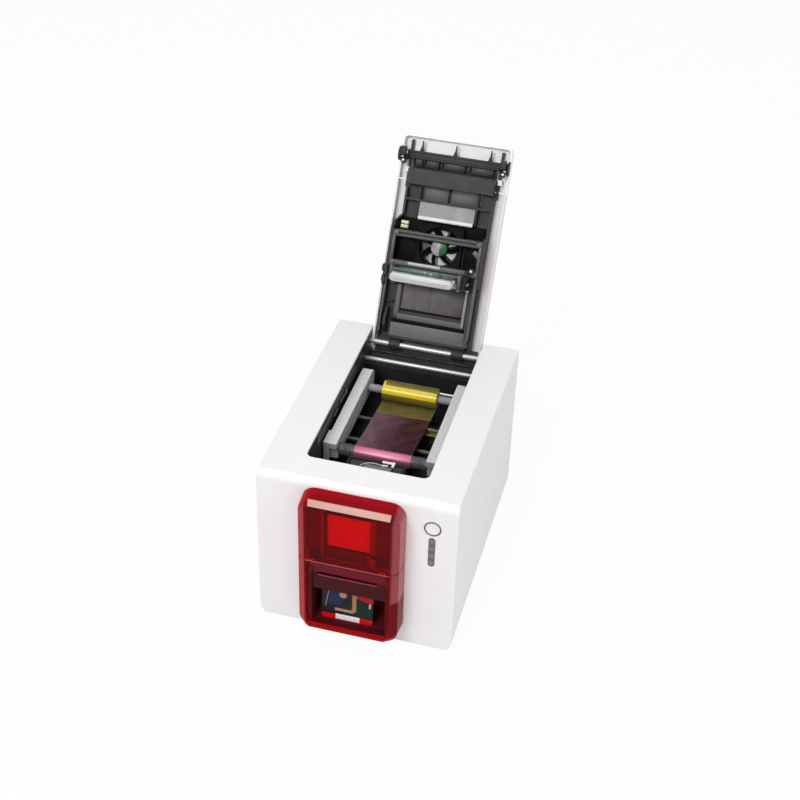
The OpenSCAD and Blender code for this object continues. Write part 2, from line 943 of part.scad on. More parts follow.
module usb_port() {
    color("silver")
    place()
        difference() {
            span([8, 20], [casing_d - 16, casing_d + 0.2], [board_z + board_t, 30]);
            span([9.5, 18.5], [casing_d - 12, casing_d + 1], [20.5, 28.5]);
        }
}

module network_port() {
    color("silver")
    place()
        difference() {
            span([30, 46], [casing_d - 18, casing_d + 0.2], [board_z + board_t, 32]);
            span([32, 44], [casing_d - 13, casing_d + 1], [20.5, 30]);
        }
}

module switch_housing() {
    color([0.12, 0.12, 0.12])
    place()
        difference() {
            span([switch_x - 9, switch_x + 9], [casing_d - 18, casing_d + 0.8],
                [switch_z - 11, switch_z + 11]);
            span([switch_x - 7, switch_x + 7], [casing_d - 10, casing_d + 1], [switch_z - 9, switch_z + 9]);
            rod_x([switch_x - 8.5, switch_x + 8.5], casing_d - 4, switch_z, 1.2 + running_fit);
        }
}

module power_switch() {
    color([0.05, 0.05, 0.05])
    place()
        translate([0, casing_d - 4, switch_z]) {
            prism_x([switch_x - 6.6, switch_x + 6.6], [
                [-2.5, -4], [1, -8], [4.4, -7.6], [3, 0], [2.2, 7.8], [-1, 7.8], [-2.5, 4]]);
            rod_x([switch_x - 8, switch_x + 8], 0, 0, 1.2);
        }
}

// ---- lid ----

module lid_cover() {
    color("white")
    place_lid()
        difference() {
            lid_span([-lid_half, lid_half], [-9, button_s - 1.2], [2, lid_top]);
            lid_span([2 - lid_half, lid_half - 2], [4, button_s + 1], [0, lid_under]);
            lid_span([-lid_half - 1, lid_half + 1], [-10, 4.1], [0, lid_under - 4]);
            lid_span([2 - lid_half, lid_half - 2], [-7, 5], [0, lid_under]);
            lid_span([-30, 30], [-10, -7.5], [lid_top - 0.5, lid_top + 1]);
        }
}

module lid_button() {
    foot_s = [button_s + 7, button_s + 13];
    color("white")
    place_lid() {
        // feet that hook under the arms of the inner frame
        both_sides() {
            lid_span([arm_x[1] + 0.3, arm_x[1] + 2.3], foot_s, [arm_h[0] - 1.8, lid_under]);
            lid_span([arm_x[0] + 0.3, arm_x[1] + 2.3], foot_s, [arm_h[0] - 1.8, arm_h[0] - 0.3]);
        }
        difference() {
            prism_z([2, lid_top], concat(
                [[lid_half, -button_s], [-lid_half, -button_s]],
                arc([6 - lid_half, 6 - lid_len], 6, 180, 270),
                arc([lid_half - 6, 6 - lid_len], 6, 270, 360)));
            prism_z([0, lid_under], concat(
                [[lid_half - 2, 1 - button_s], [2 - lid_half, 1 - button_s]],
                arc([6 - lid_half, 6 - lid_len], 4, 180, 270),
                arc([lid_half - 6, 6 - lid_len], 4, 270, 360)));
        }
    }
}

module latch_bar() {
    end_x = lid_half - 2.8;
    color([0.12, 0.12, 0.13])
    place_lid() {
        lid_span([-end_x, end_x], [latch_s[0], latch_s[1] - 4], [-2, arm_h[0] - 0.3]);
        // row of blocks along the bar
        for (x = [-42:12:42])
            lid_span([x - 4, x + 4], [latch_s[0] - 0.1, latch_s[1] - 8], [-4, -1.9]);
        // gussets towards the front edge
        for (x = [-36, 0, 36])
            lid_span([x - 1.5, x + 1.5], [latch_s[1] - 4.1, lid_len - 4.5], [2, 5.5]);
        both_sides() {
            // hook
            lid_span([end_x - 4, end_x], [latch_s[0] + 2, latch_s[1] - 4], [-34, -1.9]);
            lid_span([end_x - 4, end_x], [latch_s[1] - 4.1, latch_s[1]], [-34, -29]);
            // round boss at the end of the bar
            translate([end_x - 6, -(latch_s[0] + latch_s[1] - 4) / 2, 1])
                rotate([0, 90, 0])
                    cylinder(r = 7.5, h = 6);
        }
    }
}

module lid_inner_frame() {
    front = button_s + 12;
    color([0.17, 0.17, 0.18])
    place_lid()
        difference() {
            union() {
                prism_z([frame_h - 2.4, frame_h], [
                    [-frame_half, -7], [-frame_half, -neck_s], [-neck_half, -neck_s - 9],
                        [-neck_half, 2 - button_s], [neck_half, 2 - button_s], [neck_half, -7]]);
                lid_span([1 - neck_half, neck_half - 1], [button_s - 2.1, front], [-7, 6]);
                lid_span([1 - neck_half, neck_half - 1], [button_s - 5, button_s - 2], [-7, frame_h - 2.3]);
                both_sides() {
                    // arms that carry the latch bar and guide the release panel
                    lid_span(arm_x, [button_s - 3, lid_len - 5], arm_h);
                    lid_span([arm_x[0] - 2, arm_x[1]], [button_s - 9, button_s - 2.9], arm_h);
                }
                // rim round the window
                lid_span([-42, 42], [window_s[0] - 12.5, head_mid], [1, frame_h - 2.3]);
                // hinge knuckles
                for (x = [[-41, -29], [30, 43]]) {
                    rod_x(x, 0, 0, knuckle_r);
                    lid_span(x, [0, 8], [0, frame_h]);
                }
            }
            rod_x([-50, 50], 0, 0, hinge_r + running_fit);
            lid_span([-36, 36], window_s, [0, 5]);
            lid_span([-34, 34], [window_s[0] + 1, window_s[1] - 1], [4, lid_top]);
            lid_span([-35, 35], [neck_s + 28.4, button_s - 5.5], [0, lid_top]);
            translate([fan_x, -fan_s, 0])
                cylinder(r = fan_r - 1, h = lid_top);
        }
}

// Walls that stand under the inner frame's plate
module lid_frame_ribs() {
    top = frame_h - 2.4;
    cheek_s = [head_mid - 1, head_mid + 54];
    color([0.15, 0.15, 0.16])
    place_lid() {
        // left wall, stepping in where the frame narrows
        lid_span([-frame_half, 2.5 - frame_half], [7, neck_s], [0, top]);
        prism_z([0, top], [
            [2.5 - frame_half, 0.1 - neck_s], [-frame_half, 0.1 - neck_s], [-neck_half, -neck_s - 9],
            [2.5 - neck_half, -neck_s - 9]]);
        lid_span([-neck_half, 2.5 - neck_half], [neck_s + 8.9, button_s - 9.2], [0, top]);
        // right wall
        lid_span([neck_half - 2.5, neck_half], [7, button_s - 9.2], [0, top]);
        // cheeks beside the print head
        lid_span([0.2 - frame_half, 3 - frame_half], cheek_s, [-8, 0.1]);
        lid_span([neck_half - 3, neck_half - 0.2], cheek_s, [-8, 0.1]);
        // cross rib
        lid_span([2.4 - neck_half, neck_half - 2.4], [neck_s + 25.2, neck_s + 27.4], [-2, top]);
        // two-lobed lug on the left
        for (s = [head_mid - 7, head_mid + 1])
            rod_x([-frame_half - 1.2, 2 - frame_half], -s, -2, 6);
    }
}

module deflector_plate() {
    color("lightsteelblue")
    place_lid() {
        lid_span([-31, 31], [neck_s + 8.4, neck_s + 24.9], [-1, 0.2]);
        lid_span([-31, 31], [neck_s + 7.7, neck_s + 8.7], [-3, 0.2]);
        both_sides()
            lid_span([29.8, 31], [neck_s + 11.4, neck_s + 23.4], [0, frame_h - 2.4]);
    }
}

module fan_housing() {
    color([0.15, 0.15, 0.15])
    place_lid()
        translate([fan_x, -fan_s, 0]) {
            difference() {
                prism_z([-2, frame_h - 2.4], rounded([-25, 25], [-25, 25], 4));
                translate([0, 0, -3])
                    cylinder(r = fan_r + free_gap, h = 12);
            }
            // spider and the pin that carries the rotor
            for (a = [30, 150, 270])
                rotate([0, 0, a])
                    span([1, fan_r + 1.2], [-1, 1], [6, 6.9]);
            translate([0, 0, -0.5])
                cylinder(r = 2, h = 7.6);
        }
}

module fan_rotor() {
    blade_count = 7;
    color([0.2, 0.2, 0.2])
    place_lid()
        translate([fan_x, -fan_s, 0])
            difference() {
                union() {
                    translate([0, 0, -1.5])
                        cylinder(r = 9, h = 7.2);
                    for (i = [0:blade_count - 1])
                        rotate([0, 0, i * 360 / blade_count])
                            translate([8, 0, 2])
                                rotate([32, 0, 0])
                                    span([0, fan_r - 8.6], [-4.5, 4.5], [-0.5, 0.5]);
                }
                translate([0, 0, -0.7])
                    cylinder(r = 2 + running_fit, h = 8);
            }
}

module head_carrier() {
    x = [3 - frame_half, neck_half - 3];
    color([0.14, 0.14, 0.15])
    place_lid()
        difference() {
            union() {
                lid_span(x, [head_mid + 44, head_mid + 51], [-8, -3]);
                lid_span(x, [head_mid + 12, head_mid + 19], [-8, -3]);
                lid_span([x[0], x[0] + 4], [head_mid + 12, head_mid + 51], [-8, -3]);
                lid_span([x[1] - 4, x[1]], [head_mid + 12, head_mid + 51], [-8, -3]);
                lid_span([-47, 32], [head_mid - 6.5, head_mid + 12.1], [-8, -6]);
                // guides on both sides of the print head
                lid_span([-47, head_x[0] - 0.5], [head_mid - 4, head_mid + 12], [-31, -7.9]);
                lid_span([head_x[1] + 0.5, head_x[1] + 4], [head_mid - 4, head_mid + 12], [-31, -7.9]);
                // gear and lever beside the head
                rod_x([head_x[1] + 4, head_x[1] + 8], -head_mid - 2, -16, 7);
                lid_span([head_x[1] + 3.9, head_x[1] + 7], [head_mid - 2, head_mid + 6], [-16, -7.9]);
            }
            for (x = [-30, 15])
                translate([x, -head_mid, -9])
                    cylinder(r = 2.5 + running_fit, h = 4);
        }
}

module print_head() {
    color("silver")
    place_lid() {
        lid_span(head_x, head_s, head_h);
        lid_span(head_x, [head_mid + 1.8, head_mid + 5.8], [head_h[1] - 0.1, -12]);
        lid_span(head_x, [head_mid - 4, head_mid + 4], [-16, -12]);
        // guide pins with the springs' seats
        for (x = [-30, 15])
            translate([x, -head_mid, -12.1])
                cylinder(r = 2.5, h = 6);
    }
}

module head_board() {
    color("darkgreen")
    place_lid() {
        lid_span([head_x[0] - 0.4, head_x[1] - 2], [head_mid + 5.9, head_mid + 7.5], [-38, -11]);
        lid_span([-30, 10], [head_mid + 7.4, head_mid + 10], [-34, -28]);
    }
}

module lid_connectors() {
    color("antiquewhite")
    place_lid()
        for (s = [neck_s - 6.1, neck_s - 1.6])
            lid_span([-49, -41], [s, s + 3.6], [1.5, frame_h - 2.4]);
}

module lid_window() {
    color([0.25, 0.2, 0.22])
    place_lid()
        lid_span([-35.9, 35.9], [window_s[0] + 0.1, window_s[1] - 0.1], [3.5, 4.98]);
}

module lid_stay() {
    color([0.1, 0.1, 0.1])
    place_lid()
        prism_x([-51.5, -48.5], [
            [-40, frame_h - 2.4], [-40, 0], [-30, -6], [-20, -6], [-12, 2], [-12, frame_h - 2.4]]);
}

front_top_cover();
left_side_panel();
right_side_panel();
rear_panel();
base_tray();
rubber_feet();
well_liner();
left_frame_plate();
right_frame_plate();
hinge_brackets();
hinge_rod();
rear_tie_bar();
card_path_plate();
card_feeder();
card_stack();
stack_pusher();
feeder_door();
door_hinge_pin();
output_hopper();
hopper_chute();
printed_card();
control_button();
button_ring();
status_light();
front_board();
cleaning_cartridge();
cleaning_roller();
pickup_roller();
entry_roller();
platen_roller();
platen_shaft();
drive_motor();
motor_pulley();
drive_belt();
cassette_frame();
supply_core();
supply_roll();
takeup_core();
takeup_roll();
ribbon_film();
main_board();
power_inlet();
usb_port();
network_port();
switch_housing();
power_switch();
lid_cover();
lid_button();
latch_bar();
lid_inner_frame();
lid_frame_ribs();
deflector_plate();
fan_housing();
fan_rotor();
head_carrier();
print_head();
head_board();
lid_connectors();
lid_window();
lid_stay();
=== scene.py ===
import json
import math
import bpy
import bmesh
import numpy as np
from mathutils import Vector, Matrix


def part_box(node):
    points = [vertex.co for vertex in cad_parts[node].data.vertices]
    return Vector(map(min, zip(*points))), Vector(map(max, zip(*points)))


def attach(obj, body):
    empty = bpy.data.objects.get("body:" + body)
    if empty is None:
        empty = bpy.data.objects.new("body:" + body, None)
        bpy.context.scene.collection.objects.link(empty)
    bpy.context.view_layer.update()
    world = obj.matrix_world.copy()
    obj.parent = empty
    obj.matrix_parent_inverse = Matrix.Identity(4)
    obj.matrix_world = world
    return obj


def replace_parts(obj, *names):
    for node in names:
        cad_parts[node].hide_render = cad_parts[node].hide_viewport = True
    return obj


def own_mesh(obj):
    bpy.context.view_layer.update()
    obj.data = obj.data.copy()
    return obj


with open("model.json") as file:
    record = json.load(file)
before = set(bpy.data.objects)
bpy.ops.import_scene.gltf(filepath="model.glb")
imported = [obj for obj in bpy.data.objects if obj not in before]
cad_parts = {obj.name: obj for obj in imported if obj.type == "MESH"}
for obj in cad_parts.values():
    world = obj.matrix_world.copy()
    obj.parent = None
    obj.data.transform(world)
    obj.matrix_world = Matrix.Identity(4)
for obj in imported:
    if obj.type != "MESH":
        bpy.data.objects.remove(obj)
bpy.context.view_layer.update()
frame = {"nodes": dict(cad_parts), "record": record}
nodes = frame["nodes"]
scene = bpy.context.scene
scene.view_settings.view_transform = "Standard"
print("frame loaded,", len(nodes), "nodes")

camera = {"place": (0.3144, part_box("front_top_cover")[0].y - 1.0917, 1.1490), "elevation": 36.63, "azimuth": 14.08,
          "roll": 1.89, "lens": 69.15}


def placeCamera(c):
    data = bpy.data.cameras.new("camera")
    data.lens, data.sensor_width, data.clip_end = c["lens"], 36, 20
    scene.camera = bpy.data.objects.new("camera", data)
    scene.collection.objects.link(scene.camera)
    turn = Matrix.Translation(c["place"])
    for angle, axis in ((c["azimuth"], "Z"), (90 - c["elevation"], "X"), (c["roll"], "Z")):
        turn = turn @ Matrix.Rotation(math.radians(angle), 4, axis)
    scene.camera.matrix_world = turn


placeCamera(camera)

# The printer's own coordinates are in mm: x, y from the front panel and z from the desk
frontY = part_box("front_top_cover")[0].y * 1000
rodLow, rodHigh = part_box("hinge_rod")
hinge = np.array([0, (rodLow.y + rodHigh.y) * 500, (rodLow.z + rodHigh.z) * 500])
alongLid = np.array([0, 0.5, math.sqrt(0.75)])        # from the hinge to the lid's front edge
outOfLid = np.array([0, math.sqrt(0.75), -0.5])       # from the lid's inner side to its cover


# To metres in the shared frame
def casing(p):
    return (np.asarray(p, float) + (0, frontY, 0)) * 0.001


# The middle of a node's box, as y and z
def middle(node):
    low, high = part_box(node)
    return (low.y + high.y) * 500 - frontY, (low.z + high.z) * 500


# The lid's own coordinates, x, distance from the hinge and height towards the cover, to metres in the shared frame
def lid(p):
    p = np.asarray(p, float)
    return (hinge + p[:, :1] * (1, 0, 0) + p[:, 1:2] * alongLid + p[:, 2:3] * outOfLid) * 0.001


# Each of the shapes below gives its points and its faces
# Rings of points joined by quads: the first and last are closed by a face, or joined to each other if hollow
def grid(points, hollow=False):
    rows, cols = points.shape[:2]
    r, c = np.arange(rows if hollow else rows - 1)[:, None], np.arange(cols)[None, :]
    r2, c2 = (r + 1) % rows, (c + 1) % cols
    quads = np.stack([r * cols + c, r * cols + c2, r2 * cols + c2, r2 * cols + c], -1)
    faces = [tuple(q) for q in quads.reshape(-1, 4).tolist()]
    if not hollow:
        faces += [tuple(range(cols))[::-1], tuple(range((rows - 1) * cols, rows * cols))]
    return points.reshape(-1, 3), faces


# A ball's surface whose eight octants are pushed out to the corners of a box: a box with round edges
def roundBox(x, y, z, r, steps=2):
    low, high = np.array([x[0], y[0], z[0]], float), np.array([x[1], y[1], z[1]], float)
    r = min(r, *((high - low) / 2.02))
    t = np.radians(np.linspace(0, 90, steps + 1))
    az = np.concatenate([t + q * math.pi / 2 for q in range(4)])
    sx = np.repeat([1, -1, -1, 1], steps + 1)
    sy = np.repeat([1, 1, -1, -1], steps + 1)
    el = np.concatenate([t - math.pi / 2, t])
    sz = np.repeat([-1, 1], steps + 1)
    ball = np.stack([np.cos(el)[:, None] * np.cos(az), np.cos(el)[:, None] * np.sin(az),
                     np.sin(el)[:, None] + 0 * az], -1)
    side = np.stack([0 * sz[:, None] + sx, 0 * sz[:, None] + sy, sz[:, None] + 0 * sx], -1)
    return grid((low + high) / 2 + side * ((high - low) / 2 - r) + r * ball)


# Each row: x, y and z from and to, and the radius of the edges
def boxes(*rows):
    return [roundBox(row[0:2], row[2:4], row[4:6], *row[6:]) for row in rows]


# A profile of (distance along the axis, radius) carried round the axis
def lathe(axis, centre, profile, turns=40, hollow=False):
    profile = np.asarray(profile, float)
    a = np.linspace(0, 2 * math.pi, turns, endpoint=False)
    t = profile[:, 0:1] + 0 * a
    u, v = profile[:, 1:2] * np.cos(a), profile[:, 1:2] * np.sin(a)
    order = {"x": (t, u, v), "y": (v, t, u), "z": (u, v, t)}[axis]
    return grid(np.stack(order, -1) + np.asarray(centre, float), hollow)


# A round bar with its end edges rounded by c
def bar(axis, centre, ends, r, c=0.4, turns=32):
    q = np.radians(np.linspace(0, 90, 4))
    low = np.stack([ends[0] + c - c * np.cos(q), r - c + c * np.sin(q)], -1)
    high = np.stack([ends[1] - c + c * np.cos(q), r - c + c * np.sin(q)], -1)[::-1]
    return lathe(axis, centre, np.concatenate([low, high]), turns)


# A ring: a rounded rectangle between two distances along the axis and two radii, carried round the axis
def ring(axis, centre, ends, inner, outer, c=0.3, turns=48):
    return lathe(axis, centre, roundRect(ends, (inner, outer), c, 2)[::-1], turns, True)


# A circle carried along a path; its frame turns as little as the path allows
def tube(path, r, sides):
    path = np.asarray(path, float)
    ahead = np.gradient(path, axis=0)
    ahead /= np.linalg.norm(ahead, axis=1)[:, None]
    first = np.cross(ahead[0], (0, 0, 1) if abs(ahead[0][2]) < 0.9 else (0, 1, 0))
    first /= np.linalg.norm(first)
    across = [first]
    for d in ahead[1:]:
        s = across[-1] - d * np.dot(across[-1], d)
        across.append(s / np.linalg.norm(s))
    u = np.array(across)
    v = np.cross(ahead, u)
    a = np.linspace(0, 2 * math.pi, sides, endpoint=False)[None, :, None]
    points = path[:, None] + r * (np.cos(a) * u[:, None] + np.sin(a) * v[:, None])
    return grid(points)


# A thin sheet between two grids of points
def sheet(top, under):
    return grid(np.concatenate([top, under[:, ::-1]], 1))


# A flat outline raised between two heights, its rims rounded by r: rings of the outline moved inwards
def slab(outline, low, high, r=0.4, axis="z", steps=3):
    outline = np.asarray(outline, float)
    before, after = outline - np.roll(outline, 1, 0), np.roll(outline, -1, 0) - outline
    n1 = np.stack([before[:, 1], -before[:, 0]], -1)
    n2 = np.stack([after[:, 1], -after[:, 0]], -1)
    n1 /= np.linalg.norm(n1, axis=1)[:, None] + 1e-12
    n2 /= np.linalg.norm(n2, axis=1)[:, None] + 1e-12
    out = (n1 + n2) / (1 + (n1 * n2).sum(1))[:, None].clip(0.3)
    q = np.radians(np.linspace(0, 90, steps + 1))
    move = np.concatenate([r - r * np.sin(q), (r - r * np.cos(q))])
    height = np.concatenate([low + r - r * np.cos(q), high - r + r * np.sin(q)])
    ringPoints = outline[None] - move[:, None, None] * out[None]
    h = np.broadcast_to(height[:, None], ringPoints.shape[:2])
    a, b = ringPoints[..., 0], ringPoints[..., 1]
    order = {"z": (a, b, h), "x": (h, a, b), "y": (a, h, b)}[axis]
    return grid(np.stack(order, -1))


# A smooth curve through a few points: between two of them a cubic whose slope at each is half the way between
# that point's neighbours
def curveThrough(points, steps=24):
    p = np.asarray(points, float)
    p = np.concatenate([[2 * p[0] - p[1]], p, [2 * p[-1] - p[-2]]])
    t = np.linspace(0, len(p) - 3 - 1e-6, steps)
    i, f = t.astype(int), (t % 1)[:, None]
    a, b, c, d = p[i], p[i + 1], p[i + 2], p[i + 3]
    return 0.5 * (2 * b + (c - a) * f + (2 * a - 5 * b + 4 * c - d) * f ** 2 + (3 * b - a - 3 * c + d) * f ** 3)


# A rectangle's outline with a quarter circle at each corner
def roundRect(x, y, r, steps=6):
    t = np.radians(np.linspace(0, 90, steps + 1))
    corners = [(x[1] - r, y[1] - r, 0), (x[0] + r, y[1] - r, 1), (x[0] + r, y[0] + r, 2), (x[1] - r, y[0] + r, 3)]
    return np.concatenate([np.stack([cx + r * np.cos(t + q * math.pi / 2), cy + r * np.sin(t + q * math.pi / 2)], -1)
                           for cx, cy, q in corners])


# A gear's outline: two points at the root and two at the tip for each tooth
def toothed(teeth, root, tip):
    a = np.linspace(0, 2 * math.pi, teeth * 4, endpoint=False)
    r = np.tile([root, tip, tip, root], teeth)
    return np.stack([r * np.cos(a), r * np.sin(a)], -1)


def moved(shape, d):
    return shape[0] + np.asarray(d, float), shape[1]


# Points turned about a line through a pivot, by degrees
def turned(shape, axis, degrees, pivot=(0, 0, 0)):
    m = np.array(Matrix.Rotation(math.radians(degrees), 3, Vector(axis)))
    return (shape[0] - pivot) @ m.T + pivot, shape[1]


def joined(shapes):
    points, faces, start = [], [], 0
    for p, f in shapes:
        points.append(p)
        faces += [tuple(i + start for i in face) for face in f]
        start += len(p)
    return np.concatenate(points), faces


# A new piece from one shape or a list of them, placed, riding on a body and finished
def piece(name, shapes, finish, body="printer", slotName="black_plastic", place=casing, sharp=38, closed=True):
    points, faces = joined(shapes) if isinstance(shapes, list) else shapes
    mesh = bpy.data.meshes.new(name)
    mesh.from_pydata(place(points).tolist(), [], faces)
    bm = bmesh.new()
    bm.from_mesh(mesh)
    bmesh.ops.remove_doubles(bm, verts=bm.verts, dist=1e-6)
    bmesh.ops.dissolve_degenerate(bm, dist=1e-7, edges=bm.edges)
    if closed:
        bmesh.ops.recalc_face_normals(bm, faces=bm.faces)
    bm.to_mesh(mesh)
    bm.free()
    return finished(bpy.data.objects.new(name, mesh), finish, body, sharp)


def finished(obj, finish, body, sharp=38):
    mesh = obj.data
    mesh.polygons.foreach_set("use_smooth", [True] * len(mesh.polygons))
    mesh.set_sharp_from_angle(angle=math.radians(sharp))
    mesh.materials.clear()
    mesh.materials.append(look[finish] if isinstance(finish, str) else finish)
    scene.collection.objects.link(obj)
    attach(obj, body)
    return obj


bodyOf = {n: b for b, members in frame["record"]["behaviour"]["bodies"].items() for n in members}


# A copy of a CAD node with its flat faces joined and every edge rounded, which stands for the node
def softened(node, width, finish, segments=2, angle=25):
    source = nodes[node].data
    co = np.empty(len(source.vertices) * 3, np.float32)
    source.vertices.foreach_get("co", co)
    mesh = bpy.data.meshes.new("shown_" + node)
    mesh.from_pydata(co.reshape(-1, 3).tolist(), [], [tuple(p.vertices) for p in source.polygons])
    bm = bmesh.new()
    bm.from_mesh(mesh)
    bmesh.ops.remove_doubles(bm, verts=bm.verts, dist=3e-6)
    bmesh.ops.dissolve_limit(bm, angle_limit=math.radians(0.8), verts=bm.verts, edges=bm.edges)
    bm.to_mesh(mesh)
    bm.free()
    obj = finished(bpy.data.objects.new("shown_" + node, mesh), finish, bodyOf[node], 180)
    if width:
        bevel = obj.modifiers.new("edges", "BEVEL")
        bevel.width, bevel.segments, bevel.limit_method = width * 0.001, segments, "ANGLE"
        bevel.angle_limit, bevel.miter_outer = math.radians(angle), "MITER_ARC"
    obj.modifiers.new("shading", "WEIGHTED_NORMAL")
    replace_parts(obj, node)
    return obj


# Screen colours from 0 to 255, made linear
def rgb(r, g, b):
    c = [v / 255 for v in (r, g, b)]
    return tuple(v / 12.92 if v <= 0.04045 else ((v + 0.055) / 1.055) ** 2.4 for v in c) + (1.0,)


# A colour made k times as bright
def scaled(colour, k):
    return tuple(min(1, c * k) for c in colour[:3]) + (1,)


class Signal:                                   # one output of a node, with arithmetic
    def __init__(self, finish, socket):
        self.finish, self.socket = finish, socket

    def math(self, operation, *others):
        return self.finish.node("ShaderNodeMath", {"operation": operation}, dict(enumerate((self,) + others)))

    def __add__(self, o): return self.math("ADD", o)
    def __sub__(self, o): return self.math("SUBTRACT", o)
    def __mul__(self, o): return self.math("MULTIPLY", o)
    def __truediv__(self, o): return self.math("DIVIDE", o)
    def __pow__(self, o): return self.math("POWER", o)
    def __rsub__(self, o): return self * -1 + o

    def clamped(self):
        return self.math("MINIMUM", 1).math("MAXIMUM", 0)

    def above(self, edge, soft):                # 0 under the edge, 1 over it, with a soft step
        return ((self - edge) / soft + 0.5).clamped()

    def between(self, low, high, soft):
        return self.above(low, soft) * (1 - self.above(high, soft))


class Finish:                                   # a material made of nodes, on object coordinates
    def __init__(self, name, colour, roughness=0.4, **constants):
        self.material = bpy.data.materials.new(name)
        self.material.use_nodes = True
        self.tree = self.material.node_tree
        self.tree.nodes.clear()
        self.output = self.tree.nodes.new("ShaderNodeOutputMaterial")
        self.shader = self.tree.nodes.new("ShaderNodeBsdfPrincipled")
        self.tree.links.new(self.shader.outputs[0], self.output.inputs[0])
        self.material.diffuse_color = colour
        self.done(colour, roughness, **constants)
        self.place = self.node("ShaderNodeTexCoord", output="Object")

    def node(self, kind, settings=None, sockets=None, output=0):
        made = self.tree.nodes.new(kind)
        for key, value in (settings or {}).items():
            setattr(made, key, value)
        for key, value in (sockets or {}).items():
            self.join(made.inputs[key], value)
        return Signal(self, made.outputs[output])

    def join(self, socket, value):
        if isinstance(value, Signal):
            self.tree.links.new(value.socket, socket)
        else:
            socket.default_value = value

    def feed(self, **inputs):
        for key, value in inputs.items():
            self.join(self.shader.inputs[key.replace("_", " ")], value)

    def done(self, colour, roughness, height=None, depth=0.0, **more):
        self.feed(**{"Base Color": colour, "Roughness": roughness}, **more)
        if height:
            self.bump(height, depth)
        return self.material

    def mapped(self, scale):
        return self.node("ShaderNodeMapping", None, {0: self.place, "Scale": scale})

    def noise(self, scale, detail=2, rough=0.5, where=None):
        return self.node("ShaderNodeTexNoise", None, {"Vector": where or self.place, "Scale": scale,
                                                      "Detail": detail, "Roughness": rough})

    def cells(self, scale):
        return self.node("ShaderNodeTexVoronoi", None, {"Vector": self.place, "Scale": scale}, "Distance")

    def mixed(self, a, b, factor):
        return self.node("ShaderNodeMix", {"data_type": "RGBA"}, {0: factor, 6: a, 7: b}, 2)

    def axes(self):                             # x, y from the front panel and z, in mm
        made = self.tree.nodes.new("ShaderNodeSeparateXYZ")
        self.join(made.inputs[0], self.place)
        x, y, z = (Signal(self, s) * 1000 for s in made.outputs)
        return x, y - frontY, z

    def lidAxes(self):                          # x, distance from the hinge and height towards the cover, in mm
        x, y, z = self.axes()
        y, z = y - (hinge[1] - frontY), z - hinge[2]
        return x, y * alongLid[1] + z * alongLid[2], y * outOfLid[1] + z * outOfLid[2]

    def bump(self, height, distance):
        self.feed(Normal=self.node("ShaderNodeBump", None, {"Distance": distance, "Height": height}))


# Moulded plastic: fine spark-eroded grain in the bump, slow drift in colour and gloss
def moulded(colour, roughness, drift=0.03, specular=0.5, grain=40, speck=0.0, size=2600):
    colour = rgb(*colour)
    f = Finish("plain", colour, roughness, Specular_IOR_Level=specular)
    slow = f.noise(26, 3)
    shade = f.mixed(scaled(colour, 1 - 2 * drift), scaled(colour, 1 + 2 * drift), slow)
    if speck:
        fine = f.noise(size * 0.45, 2).above(0.56, 0.1)
        pale = tuple(min(1, c + speck) for c in colour[:3]) + (1,)
        shade = f.mixed(shade, pale, fine)
    return f.done(shade, (f.noise(90, 2) - 0.5) * 0.16 + roughness, f.noise(size, 2, 0.6) + f.noise(9, 1) * 0.5,
                  grain * 1e-6)


# Brushed sheet steel: noise drawn out along one axis gives the strokes
def brushed(colour, roughness, stretch):
    f = Finish("plain", colour, roughness, Metallic=0.9)
    strokes = f.noise(900, 3, 0.6, f.mapped(stretch))
    return f.done(f.mixed(scaled(colour, 0.75), colour, strokes), strokes * 0.2 + (roughness - 0.1), strokes, 0.00003)


# Turned and polished bar: a slow change of shade and gloss along it
def polished(colour, roughness):
    f = Finish("plain", colour, roughness, Metallic=0.6)
    return f.done(f.mixed(scaled(colour, 0.85), colour, f.noise(60)), f.noise(40) * 0.1 + (roughness - 0.05),
                  f.noise(30, 1), 0.00001)


tray = {"middle": -1.8, "half": 43.5, "seam": 115}


# Clear tinted plastic: a tinted see-through wall, more coloured at its rims and where it is seen edge-on, under a
# pale gloss of 0.008 + 0.7 * facing^6, faint head-on and strong at grazing views. Its right flank carries a pale
# pink painted reflection above and is darker below
def clearTinted(tint, colour, share, gloss, edge):
    f = Finish("plain", colour, 0.4, Specular_IOR_Level=0.0)
    x, y, z = f.axes()
    shade = f.mixed(colour, scaled(colour, 0.7), f.noise(40, 2))
    # Painted reflection: pale pink on the right flank above z 76, darker red below it
    side, high = x.above(edge[0], 3), z.above(76, 4)
    shade = f.mixed(shade, edge[1], side * high * 0.85)
    shade = f.mixed(shade, edge[2], side * (1 - high) * 0.85)
    f.done(shade, 0.4, f.noise(22, 1), 0.00008)
    facing = f.node("ShaderNodeLayerWeight", None, {"Blend": 0.5}, 1)
    seeThrough = f.node("ShaderNodeBsdfTransparent", None, {"Color": tint})
    across = (x - tray["middle"]).math("ABSOLUTE").above(tray["half"] + 2, 1.5)
    rims = across.math("MAXIMUM", z.above(186, 1)).math("MAXIMUM", 1 - z.above(23.5, 1)) * (1 - side)
    solid = facing.above(0.45, 0.3) * share[1] + side * 0.3 + rims * 0.42 + share[0]
    inside = f.node("ShaderNodeMixShader", None, {0: solid, 1: seeThrough, 2: Signal(f, f.shader.outputs[0])})
    mirror = f.node("ShaderNodeBsdfGlossy", None, {"Color": gloss, "Roughness": 0.06})
    mix = f.node("ShaderNodeMixShader", None, {0: facing ** 6 * 0.7 + 0.008, 1: inside, 2: mirror})
    f.tree.links.new(mix.socket, f.output.inputs[0])
    return f.material


# Rubber: matt, with fine pits
def rubberSkin(colour, roughness=0.75):
    f = Finish("plain", colour, roughness)
    pits = f.noise(1800, 3, 0.6)
    return f.done(f.mixed(scaled(colour, 0.8), scaled(colour, 1.25), f.noise(70, 3)), pits * 0.15 + (roughness - 0.08),
                  pits, 0.00006)


